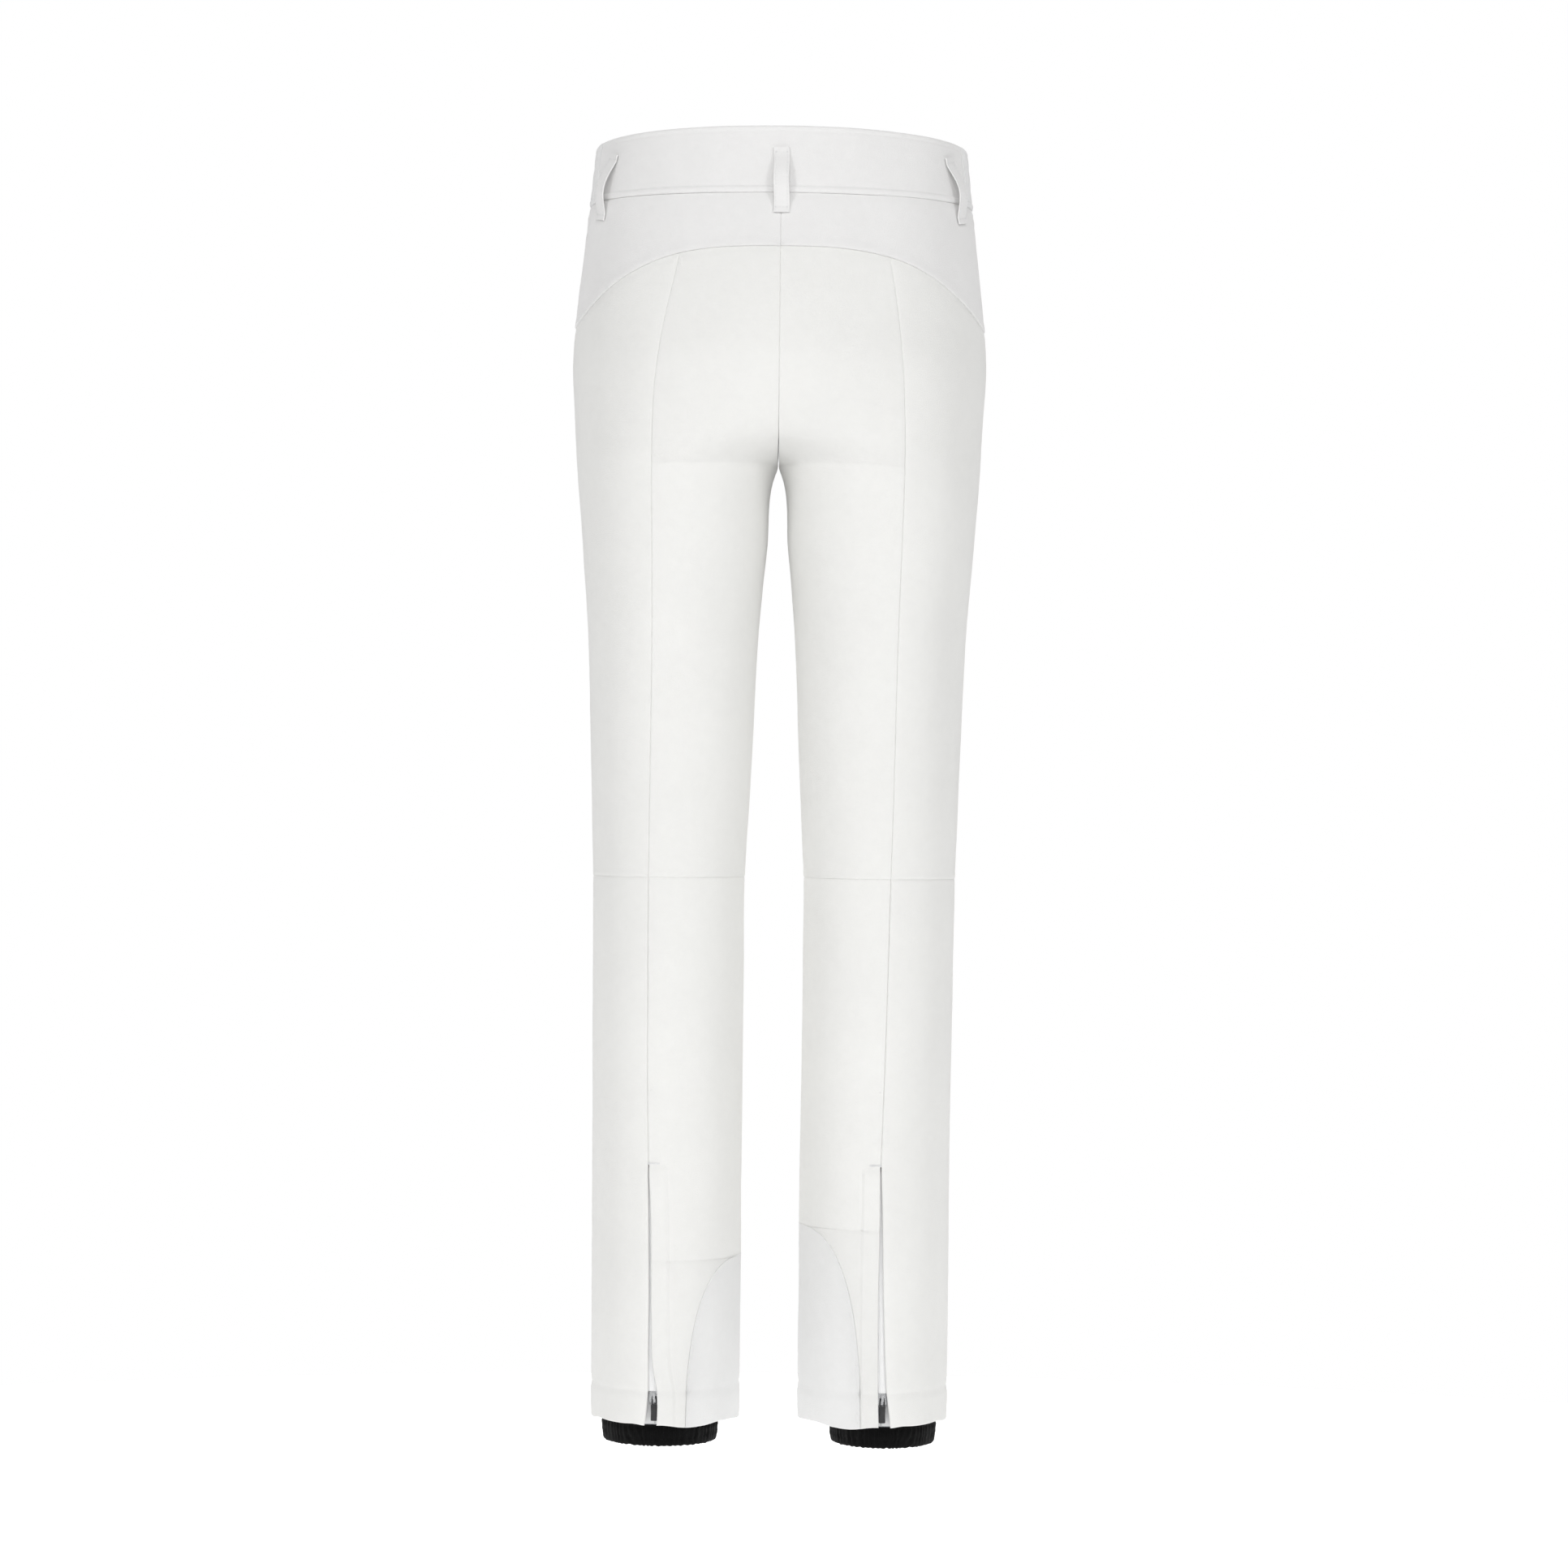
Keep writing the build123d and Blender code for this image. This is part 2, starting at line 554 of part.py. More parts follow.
def make_hem_facing():
    """The turned-up hem inside the left leg, which stops at either side of the zip."""
    low_leg = at_level(KNEE, HEM, HEM.z + HEM_ALLOWANCE)
    facing = shell_of([low_leg, HEM], SHELL, HEM_FACING)
    behind = HEM_ZIP._replace(plane=HEM_ZIP.plane.offset(-GUSSET_DEPTH - GUSSET - RECESS))
    return slot_cut(facing, behind, -10.0, HEM_ZIP_LENGTH, GUSSET_WIDTH / 2 + 1.0)


def make_pocket_bag():
    """The bag behind the hand pocket: a flat pouch that follows the front panel."""
    with BuildPart() as half:
        add(shell_of(UPPER_GIRTHS, BAG_DEPTH, BAG).part)
        split(bisect_by=Plane.YZ, keep=Keep.TOP)
    with BuildSketch() as outline:
        with Locations(((BAG_INNER_X + BAG_OUTER_X) / 2, (BAG_TOP + BAG_BOTTOM) / 2)):
            RectangleRounded(BAG_OUTER_X - BAG_INNER_X, BAG_TOP - BAG_BOTTOM, 20.0)
    return face_cut(half, outline.sketch, -REACH, SEAM_Y - 10.0)


# ---- zips ----
def make_zip_tapes(place):
    """The two woven tapes, side by side with the chain's gap between them."""
    with BuildPart() as tapes:
        with BuildSketch(place.plane):
            for side in (-1, 1):
                with Locations((side * (COIL_GAP + TAPE_WIDTH / 2), place.length / 2)):
                    Rectangle(TAPE_WIDTH, place.length - 4.0)
        extrude(amount=-TAPE)
    return tapes


def make_zip_coils(place):
    """The two coils sewn to the tapes' inner edges."""
    with BuildPart() as coils:
        across = Plane(origin=place.plane.from_local_coords(Vector(0, 4.0, 0)),
                       x_dir=place.plane.x_dir, z_dir=place.plane.y_dir)
        with BuildSketch(across):
            for side in (-1, 1):
                with Locations((side * (COIL_GAP + COIL_WIDTH / 2), -COIL_HEIGHT / 2)):
                    RectangleRounded(COIL_WIDTH, COIL_HEIGHT, 0.5)
        extrude(amount=place.length - 8.0)
    return coils


def make_slider(place):
    """Two plates round the chain, joined by the neck between the coils, with a bridge on top."""
    inner_top = COIL_HEIGHT + SLIDER_CLEARANCE
    inner_low = -TAPE - SLIDER_CLEARANCE
    top = inner_top + SLIDER_PLATE
    channel = COIL_GAP + COIL_WIDTH + SLIDER_CLEARANCE
    with BuildPart() as slider:
        for base, height in ((inner_low - SLIDER_PLATE, SLIDER_PLATE), (inner_top, SLIDER_PLATE)):
            with BuildSketch(place.plane.offset(base)):
                with Locations((0, place.rest)):
                    RectangleRounded(SLIDER_WIDTH, SLIDER_LENGTH, 1.6)
            extrude(amount=height)
        with BuildSketch(place.plane.offset(SLIDER_CLEARANCE)):
            for side in (-1, 1):
                with Locations((side * (channel + SLIDER_WIDTH / 2) / 2, place.rest)):
                    Rectangle(SLIDER_WIDTH / 2 - channel, SLIDER_LENGTH - 3.4)
        extrude(amount=inner_top - SLIDER_CLEARANCE + SLIDER_PLATE / 2)
        with BuildSketch(place.plane.offset(inner_low - SLIDER_PLATE / 2)):
            with Locations((0, place.rest + 2.0)):
                Rectangle(NECK_WIDTH, NECK_LENGTH)
        extrude(amount=inner_top - inner_low + SLIDER_PLATE)
        with BuildSketch(place.plane.offset(top - SLIDER_PLATE / 2)):
            with Locations((0, place.rest)):
                RectangleRounded(BRIDGE_WIDTH, BRIDGE_LENGTH, 0.6)
        extrude(amount=pin_height() - top + SLIDER_PLATE / 2 + 1.2)
        with BuildSketch(pin_plane(place)):
            Circle(PIN_RADIUS + PIN_CLEARANCE)
        extrude(amount=2 * BRIDGE_WIDTH, mode=Mode.SUBTRACT)
    return slider


def pin_height():
    """The puller's pin above the tape plane."""
    return COIL_HEIGHT + SLIDER_CLEARANCE + SLIDER_PLATE + PULLER / 2 + 0.25


def pin_plane(place):
    """A plane across the slider whose z runs along the puller's pin, one bridge width before it."""
    origin = place.plane.from_local_coords(Vector(-BRIDGE_WIDTH, place.rest, pin_height()))
    return Plane(origin=origin, x_dir=place.plane.y_dir, z_dir=place.plane.x_dir)


def make_puller(place):
    """A clevis on its pin, with a moulded grip that hangs below it."""
    pin_half = BRIDGE_WIDTH / 2 + 0.25 + ARM_WIDTH
    grip_top = ARM_LENGTH - 1.2
    grip_length = PULLER_LENGTH - grip_top
    with BuildPart() as puller:
        with BuildSketch(place.plane.offset(pin_height() - PULLER / 2)):
            for side in (-1, 1):
                with Locations((side * (pin_half - ARM_WIDTH / 2), place.rest - ARM_LENGTH / 2)):
                    Rectangle(ARM_WIDTH, ARM_LENGTH)
            with Locations((0, place.rest - grip_top - grip_length / 2)):
                RectangleRounded(PULLER_WIDTH, grip_length, 0.8)
        extrude(amount=PULLER)
        across = place.plane.from_local_coords(Vector(-pin_half, place.rest, pin_height()))
        axis = Plane(origin=across, x_dir=place.plane.y_dir, z_dir=place.plane.x_dir)
        for offset in (0.0, 2 * pin_half - ARM_WIDTH):
            with BuildSketch(axis.offset(offset)):
                Circle(PULLER / 2)
            extrude(amount=ARM_WIDTH)
        with BuildSketch(axis):
            Circle(PIN_RADIUS)
        extrude(amount=2 * pin_half)
    return puller


def make_gusset(place):
    """The cloth strip behind a recessed zip."""
    with BuildPart() as strip:
        with BuildSketch(place.plane.offset(-GUSSET_DEPTH)):
            with Locations((0, place.length / 2)):
                Rectangle(GUSSET_WIDTH, place.length - 2.0)
        extrude(amount=-GUSSET)
    return strip


# ---- gaiters ----
def make_gaiter():
    """The sleeve sewn inside the leg, and its elastic cuff."""
    top = at_level(KNEE, HEM, -SLEEVE_TOP_DROP)
    hung = Girth(top.z, top.cx, top.cy, top.a - SHELL - STANDOFF, top.b - SHELL - STANDOFF)
    cuff_low = Girth(-GAITER_DROP, CUFF_X, CUFF_Y, CUFF_HALF_WIDTH, CUFF_HALF_DEPTH)
    cuff_top = cuff_low._replace(z=-GAITER_DROP + CUFF_HEIGHT)
    neck = Girth(-SLEEVE_NECK_DROP, (top.cx + CUFF_X) / 2, (top.cy + CUFF_Y) / 2 - 1.0,
                 SLEEVE_NECK_HALF_WIDTH, SLEEVE_NECK_HALF_DEPTH)
    return {"gaiter_sleeve": shell_of([hung, neck, cuff_top], 0.0, SLEEVE),
            "gaiter_cuff": shell_of([cuff_top, cuff_low], 0.0, CUFF)}


def mirrored(shape):
    """The same piece on the wearer's other side."""
    with BuildPart() as other:
        mirror(shape.part, about=Plane.YZ)
    return other


def both(shape):
    """A piece and its mirror image as one."""
    with BuildPart() as two:
        add(shape.part)
        mirror(shape.part, about=Plane.YZ)
    return two


def main():
    os.makedirs("parts", exist_ok=True)
    pieces = make_waistband()
    pieces["waist_tab"] = drill(pieces["waist_tab"], BARREL_RADIUS + 0.1)
    pieces["waistband_front_right"] = drill(pieces["waistband_front_right"], STUD_RADIUS + 0.1)
    pieces.update(make_snaps())
    for name, angle in LOOP_ANGLES.items():
        pieces[f"belt_loop_{name}"] = make_belt_loop(angle)
    pieces["hanger_loops"] = make_hanger_loops()
    pieces["fly_zip_tapes"] = make_zip_tapes(FLY_ZIP)
    pieces["fly_zip_coils"] = make_zip_coils(FLY_ZIP)
    pieces["fly_slider"] = make_slider(FLY_ZIP)
    pieces["fly_puller"] = make_puller(FLY_ZIP)
    pieces["fly_shield"] = make_gusset(FLY_ZIP)

    pieces["pocket_zip_tapes"] = both(make_zip_tapes(POCKET_ZIP))
    pieces["pocket_zip_coils"] = both(make_zip_coils(POCKET_ZIP))
    pieces["pocket_bags"] = both(make_pocket_bag())
    pieces["hem_facings"] = both(make_hem_facing())

    left = make_upper_panels()
    left.update(make_lower_panels())
    left.update(make_gaiter())
    left["hem_zip_tapes"] = make_zip_tapes(HEM_ZIP)
    left["hem_zip_coils"] = make_zip_coils(HEM_ZIP)
    left["hem_gusset"] = make_gusset(HEM_ZIP)
    for name, place in (("hem", HEM_ZIP), ("pocket", POCKET_ZIP)):
        left[f"{name}_slider"] = make_slider(place)
        left[f"{name}_puller"] = make_puller(place)
    for name, shape in left.items():
        pieces[f"{name}_left"] = shape
        pieces[f"{name}_right"] = mirrored(shape)

    for name, piece in pieces.items():
        piece.part.label = name
        export_step(piece.part, f"parts/{name}.step")
    print(len(pieces), "pieces")


main()
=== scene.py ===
"""Looks of the ski pants. Lengths in the helpers are millimetres; meshes are stored in metres."""
import math
import bpy
import numpy as np
from mathutils import Matrix, Vector
from mathutils.kdtree import KDTree


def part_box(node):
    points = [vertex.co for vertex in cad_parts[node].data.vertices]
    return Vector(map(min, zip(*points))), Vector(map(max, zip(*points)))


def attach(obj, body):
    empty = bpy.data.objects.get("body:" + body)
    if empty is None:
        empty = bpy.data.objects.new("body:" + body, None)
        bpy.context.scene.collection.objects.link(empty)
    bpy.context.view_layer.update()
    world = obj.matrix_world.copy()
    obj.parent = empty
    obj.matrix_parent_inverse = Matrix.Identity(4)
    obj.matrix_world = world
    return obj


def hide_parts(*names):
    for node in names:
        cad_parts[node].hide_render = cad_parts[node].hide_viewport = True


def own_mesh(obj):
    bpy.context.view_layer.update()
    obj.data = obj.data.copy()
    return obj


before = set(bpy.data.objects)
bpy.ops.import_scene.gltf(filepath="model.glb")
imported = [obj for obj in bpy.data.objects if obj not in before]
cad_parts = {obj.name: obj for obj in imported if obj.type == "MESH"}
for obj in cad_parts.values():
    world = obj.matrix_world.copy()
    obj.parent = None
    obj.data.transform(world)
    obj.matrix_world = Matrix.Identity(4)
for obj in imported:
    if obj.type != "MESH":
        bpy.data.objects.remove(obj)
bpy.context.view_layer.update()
MM = 0.001
SIDES = (("left", 1.0), ("right", -1.0))

# ---------------------------------------------------------------- the body, as in the CAD
SEAM_Y = 5.0
SHELL = 1.8


def between(upper, lower, share):
    """The girth at a share of the way down from one girth to another."""
    return tuple(u + share * (w - u) for u, w in zip(upper, lower))


# girths of one half of the body: z, centre x, centre y, half width, half depth
WAIST = (0.0, 0.0, 1.0, 152.0, 102.0)
BAND_SEAM = (-48.0, 0.0, 2.9, 156.9, 108.0)
HIP = (-180.0, 22.0, 7.5, 148.2, 117.5)
CROTCH = (-261.0, 83.0, 5.0, 83.0, 98.0)
KNEE = (-598.0, 86.8, -8.0, 62.8, 72.0)
HEM = (-1041.0, 85.0, 4.0, 61.0, 84.0)
BODY = [
    between(WAIST, BAND_SEAM, 34 / 48), (-95.0, 0.0, 5.0, 163.0, 113.0), (-146.0, 6.0, 7.0, 162.2, 117.0),
    HIP, between(HIP, CROTCH, 0.43), between(HIP, CROTCH, 0.75), CROTCH,
    (-330.0, 84.8, 2.0, 76.3, 90.0), (-400.0, 85.3, -2.0, 70.6, 84.0), (-500.0, 86.0, -6.0, 67.0, 77.0), KNEE]
KNEE_Z, HEM_Z, ZIP_TOP = KNEE[0], HEM[0], -831.0
HEM_BAND, GUARD_X, BAND_HEIGHT = 28.0, 24.0, 50.0


def smooth_rows(rows, steps):
    """More girths on a smooth curve through the given ones."""
    ends = [rows[0]] + list(rows) + [rows[-1]]
    out = []
    for p, u, w, n in zip(ends, ends[1:], ends[2:], ends[3:]):
        p, u, w, n = (np.array(r) for r in (p, u, w, n))
        run = w[0] - u[0]
        for t in np.arange(steps) / steps:
            s = run * (w - p) / (w[0] - p[0])
            e = run * (n - u) / (n[0] - u[0])
            row = ((2 * t**3 - 3 * t**2 + 1) * u + (t**3 - 2 * t**2 + t) * s
                   + (3 * t**2 - 2 * t**3) * w + (t**3 - t**2) * e)
            row[0] = u[0] + t * run
            out.append(row)
    return out + [np.array(rows[-1])]


# straight above the waist and below the knee, with one row more at each end
TABLE = np.array([between(WAIST, BODY[0], -1.0), WAIST] + smooth_rows(BODY, 12)
                 + [HEM, between(KNEE, HEM, 2.0)])[::-1]


def girth(z):
    """cx, cy, a, b of the body at each level."""
    z = np.asarray(z, float)
    return [np.interp(z, TABLE[:, 0], TABLE[:, k]) for k in range(1, 5)]


def body_point(phi, z, off=0.0):
    cx, cy, a, b = girth(z)
    return np.stack([cx + (a + off) * np.cos(phi), cy + (b + off) * np.sin(phi),
                     np.broadcast_to(z, np.shape(cx)) + 0 * phi], -1)


def lerp(a, b, t):
    return a + (b - a) * t


def ramp(x, a, b):
    t = np.clip((x - a) / (b - a), 0, 1)
    return t * t * (3 - 2 * t)


def ridge(x, at, width, power=2):
    """A soft bump of height 1."""
    return np.exp(-((x - at) / width) ** power)


def rounded(x, power):
    """Turns a sine or cosine into one side of a rounded square."""
    return np.sign(x) * np.abs(x) ** power


def radial(phi, side=1.0):
    """Directions away from the leg's axis."""
    return np.stack([np.cos(phi) * side, np.sin(phi), 0 * phi], -1)


# ---------------------------------------------------------------- noise, the same each run
def lattice(i, seed):
    h = (i[..., 0] * 374761393 + i[..., 1] * 668265263 + i[..., 2] * 2147483647
         + seed * 974634533) & 0xFFFFFFFF
    h = ((h ^ (h >> 13)) * 1274126177) & 0xFFFFFFFF
    return ((h ^ (h >> 16)) & 0xFFFF) / 32767.5 - 1


def noise(p, scale, seed=0):
    q = p / np.asarray(scale, float) + 100.37
    q = q + 0.31 * q[..., [1, 2, 0]]
    i = np.floor(q).astype(np.int64)
    f = q - i
    f = f ** 3 * (f * (f * 6 - 15) + 10)
    out = 0
    for dx in (0, 1):
        for dy in (0, 1):
            for dz in (0, 1):
                w = ((f[..., 0] if dx else 1 - f[..., 0]) * (f[..., 1] if dy else 1 - f[..., 1])
                     * (f[..., 2] if dz else 1 - f[..., 2]))
                out = out + w * lattice(i + np.array([dx, dy, dz]), seed)
    return out


def drape(p):
    """Soft folds of the cloth, long down the legs and finer at the seat and waist."""
    long = noise(p, (55, 55, 210), 1) * 0.75 + noise(p, (26, 26, 90), 2) * 0.22
    soft = noise(p, (38, 38, 46), 3) * 0.28 + noise(p, 15, 4) * 0.07
    return long + soft


# ---------------------------------------------------------------- mesh helpers
def spaced(length, step, edge=0.4):
    """Shares from 0 to 1 along a length, close together at both ends."""
    near = [0.0]
    gap = edge
    while gap < step and near[-1] + gap < length * 0.45:
        near.append(near[-1] + gap)
        gap *= 1.5
    start = near[-1]
    n = max(1, int(round((length - 2 * start) / step)))
    mid = np.linspace(start, length - start, n + 1)
    near = np.array(near[:-1])
    return np.concatenate([near, mid, length - near[::-1]]) / length


def normals(p, outward):
    du = np.gradient(p, axis=0)
    dv = np.gradient(p, axis=1)
    n = np.cross(du, dv)
    n /= np.maximum(np.linalg.norm(n, axis=-1, keepdims=True), 1e-9)
    sign = np.sign(np.sum(n * outward, -1).sum())
    return n * sign, sign


def quads_object(name, verts, quads, uv=None, index=None, mats=(), ride="pants", node=None,
                 slot=None, sharp=50.0):
    me = bpy.data.meshes.new(name)
    me.vertices.add(len(verts))
    me.vertices.foreach_set("co", (np.asarray(verts) * MM).astype(np.float32).ravel())
    quads = np.ascontiguousarray(quads, np.int32)
    me.loops.add(quads.size)
    me.loops.foreach_set("vertex_index", quads.ravel())
    me.polygons.add(len(quads))
    me.polygons.foreach_set("loop_start", np.arange(0, quads.size, 4, dtype=np.int32))
    for m in mats:
        me.materials.append(m)
    if index is not None:
        me.polygons.foreach_set("material_index", np.asarray(index, np.int32))
    if uv is not None:
        layer = me.uv_layers.new(name="grain")
        layer.data.foreach_set("uv", (np.asarray(uv) * MM)[quads.ravel()].astype(np.float32).ravel())
    me.update(calc_edges=True)
    me.validate()
    me.shade_smooth()
    me.set_sharp_from_angle(angle=math.radians(sharp))
    obj = bpy.data.objects.new(name, me)
    bpy.context.scene.collection.objects.link(obj)
    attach(obj, ride)
    if node:
        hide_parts(*([node] if isinstance(node, str) else node))
    return obj


def shell_mesh(p, lift, thick, outward, keep=None, inner_lift=None):
    """Vertices, quads, uv and face groups (0 outside, 1 inside, 2 rim) of a grid with thickness."""
    nu, nv = p.shape[:2]
    n, sign = normals(p, outward)
    lift = np.broadcast_to(lift, (nu, nv))
    inner = np.broadcast_to(lift if inner_lift is None else inner_lift, (nu, nv)) - thick
    verts = np.concatenate([(p + n * lift[..., None]).reshape(-1, 3),
                            (p + n * inner[..., None]).reshape(-1, 3)])
    keep = np.ones((nu - 1, nv - 1), bool) if keep is None else keep
    idx = np.arange(nu * nv).reshape(nu, nv)
    q = np.stack([idx[:-1, :-1], idx[1:, :-1], idx[1:, 1:], idx[:-1, 1:]], -1)[keep]
    if sign < 0:
        q = q[:, ::-1]
    back = q[:, ::-1] + nu * nv
    rims = []
    pad = np.pad(keep, 1)
    for axis in (0, 1):
        here = pad[1:, 1:-1] if axis == 0 else pad[1:-1, 1:]
        before = pad[:-1, 1:-1] if axis == 0 else pad[1:-1, :-1]
        for mask, flip in ((here & ~before, False), (before & ~here, True)):
            i, j = np.nonzero(mask)
            a = idx[i, j]
            b = idx[i, j + 1] if axis == 0 else idx[i + 1, j]
            rim = np.stack([a, b, b + nu * nv, a + nu * nv], -1)
            if flip ^ (axis == 1) ^ (sign < 0):
                rim = rim[:, ::-1]
            rims.append(rim)
    rim = np.concatenate(rims)
    quads = np.concatenate([q, back, rim])
    group = np.concatenate([np.zeros(len(q)), np.ones(len(back)), np.full(len(rim), 2)]).astype(int)
    du = np.linalg.norm(np.diff(p, axis=0), axis=-1).mean(1)
    dv = np.linalg.norm(np.diff(p, axis=1), axis=-1).mean(0)
    u = np.concatenate([[0], np.cumsum(du)])
    v = np.concatenate([[0], np.cumsum(dv)])
    uv = np.stack(np.meshgrid(u, v, indexing="ij"), -1).reshape(-1, 2)
    uv = np.concatenate([uv, uv])
    used = np.unique(quads)
    remap = np.full(len(verts), -1)
    remap[used] = np.arange(len(used))
    return verts[used], remap[quads], uv[used], group


def tube_quads(rows, ring):
    """Quads of a closed tube of rows points long, with both ends filled."""
    quads = [(i * ring + j, i * ring + (j + 1) % ring, (i + 1) * ring + (j + 1) % ring, (i + 1) * ring + j)
             for i in range(rows - 1) for j in range(ring)]
    for base in (0, (rows - 1) * ring):
        for j in range(1, ring // 2):
            f = (base + j - 1, base + j, base + ring - 1 - j, base + (ring - j) % ring)
            quads.append(f if base else f[::-1])
    return np.array(quads)


def joined(parts):
    """Several shells as one: their vertices, quads and uv."""
    starts = np.cumsum([0] + [len(part[0]) for part in parts[:-1]])
    return (np.concatenate([part[0] for part in parts]),
            np.concatenate([part[1] + start for part, start in zip(parts, starts)]),
            np.concatenate([part[2] for part in parts]))


def cloth(obj, p, keep=None, copies=1):
    """Works out the grid's own developed width, length and area, as for cloth cut flat, and returns the
    piece.
    """
    width = np.linalg.norm(np.diff(p, axis=0), axis=-1).sum(0).max()
    length = np.linalg.norm(np.diff(p, axis=1), axis=-1).sum(1).max() * copies
    a, b = p[1:, 1:] - p[:-1, :-1], p[1:, :-1] - p[:-1, 1:]
    cells = np.linalg.norm(np.cross(a, b), axis=-1) / 2
    area = (cells if keep is None else cells[keep]).sum() * copies
    area = min(max(area, 0.3005 * width * length), width * length)
    return obj


def edge_samples(p, keep=None):
    """Points along each side of a grid and round its holes: {side: points}."""
    sides = {"left": p[0], "right": p[-1], "bottom": p[:, 0], "top": p[:, -1]}
    if keep is not None:
        inside = np.pad(keep, 1, constant_values=True)
        near = np.zeros(p.shape[:2], bool)
        near |= ~inside[1:, 1:] | ~inside[:-1, 1:] | ~inside[1:, :-1] | ~inside[:-1, :-1]
        touch = np.pad(keep, 1)
        solid = touch[1:, 1:] | touch[:-1, 1:] | touch[1:, :-1] | touch[:-1, :-1]
        sides["hole"] = p[near & solid]
    return sides


def seam_lift(p, specs, keep=None):
    """How far the cloth stands off its smooth shape because of the seams round it."""
    samples = edge_samples(p, keep)
    points, owner = [], []
    order = [k for k in samples if k in specs]
    for k in order:
        s = samples[k]
        if k != "hole":
            fine = [s[:-1] + (s[1:] - s[:-1]) * t for t in (0, 0.25, 0.5, 0.75)]
            s = np.concatenate(fine + [s[-1:]])
        points.append(s)
        owner += [k] * len(s)
    points = np.concatenate(points)
    tree = KDTree(len(points))
    for i, s in enumerate(points):
        tree.insert(s, i)
    tree.balance()
    flat = p.reshape(-1, 3)
    found = [tree.find(q)[1:] for q in flat]
    d = np.array([f[1] for f in found])
    near = np.array([f[0] for f in found])
    own = np.array(owner)[near]
    at = points[near]
    out = np.zeros(len(flat))
    pucker = noise(at, 9, 7) * 0.5 + noise(at, 4.2, 8) * 0.5
    for k in order:
        m = own == k
        spec = {"dip": 0.45, "width": 4.5, "pucker": 0.16, "roll": 0.5, "lap": 0.0,
                "lap_width": 5.0, "stitch": ()}
        spec.update(specs[k])
        dist = d[m]
        e = -spec["dip"] * np.exp(-(dist / spec["width"]) ** 2)
        e += spec["pucker"] * pucker[m] * np.exp(-(dist / 8) ** 2) * ramp(dist, 0, 2.5)
        e += spec["lap"] * np.exp(-(dist / spec["lap_width"]) ** 4)
        for off in spec["stitch"]:
            e -= 0.26 * np.exp(-((dist - off) / 0.75) ** 2)
        r = spec["roll"]
        if r:
            t = np.clip(r - dist, 0, r)
            e -= r - np.sqrt(np.maximum(r * r - t * t, 0))
        out[m] = e
    return out.reshape(p.shape[:2])


# ---------------------------------------------------------------- materials
def new_material(name, color, rough, metallic=0.0, sheen=0.0, spec=0.5, coat=0.0):
    m = bpy.data.materials.new(name)
    m.use_nodes = True
    nodes, links = m.node_tree.nodes, m.node_tree.links
    b = nodes["Principled BSDF"]
    b.inputs["Base Color"].default_value = (*color, 1)
    b.inputs["Roughness"].default_value = rough
    b.inputs["Metallic"].default_value = metallic
    b.inputs["Specular IOR Level"].default_value = spec
    b.inputs["Sheen Weight"].default_value = sheen
    b.inputs["Sheen Roughness"].default_value = 0.6
    b.inputs["Coat Weight"].default_value = coat
    b.inputs["Coat Roughness"].default_value = 0.25
    return m, nodes, links, b


def math_node(nodes, links, op, a, b):
    n = nodes.new("ShaderNodeMath")
    n.operation = op
    for i, v in enumerate((a, b)):
        if isinstance(v, (int, float)):
            n.inputs[i].default_value = v
        else:
            links.new(v, n.inputs[i])
    return n.outputs[0]


def noise_node(nodes, links, source, scale, detail=2.0, rough=0.5):
    n = nodes.new("ShaderNodeTexNoise")
    n.inputs["Scale"].default_value = scale
    n.inputs["Detail"].default_value = detail
    n.inputs["Roughness"].default_value = rough
    links.new(source, n.inputs["Vector"])
    return n.outputs["Fac"]


def ramp_node(nodes, links, fac, stops):
    n = nodes.new("ShaderNodeValToRGB")
    el = n.color_ramp.elements
    while len(el) < len(stops):
        el.new(0.5)
    for e, (pos, col) in zip(el, stops):
        e.position = pos
        e.color = (*col, 1)
    links.new(fac, n.inputs["Fac"])
    return n.outputs["Color"]


def uneven_gloss(nodes, links, value, low, high, shader):
    n = nodes.new("ShaderNodeMapRange")
    n.inputs["To Min"].default_value = low
    n.inputs["To Max"].default_value = high
    links.new(value, n.inputs["Value"])
    links.new(n.outputs["Result"], shader.inputs["Roughness"])


def bump_node(nodes, links, height, strength, distance, under=None):
    n = nodes.new("ShaderNodeBump")
    n.inputs["Strength"].default_value = strength
    n.inputs["Distance"].default_value = distance
    links.new(height, n.inputs["Height"])
    if under is not None:
        links.new(under, n.inputs["Normal"])
    return n.outputs["Normal"]


def shade(c, k):
    return tuple(min(1.0, x * k) for x in c)


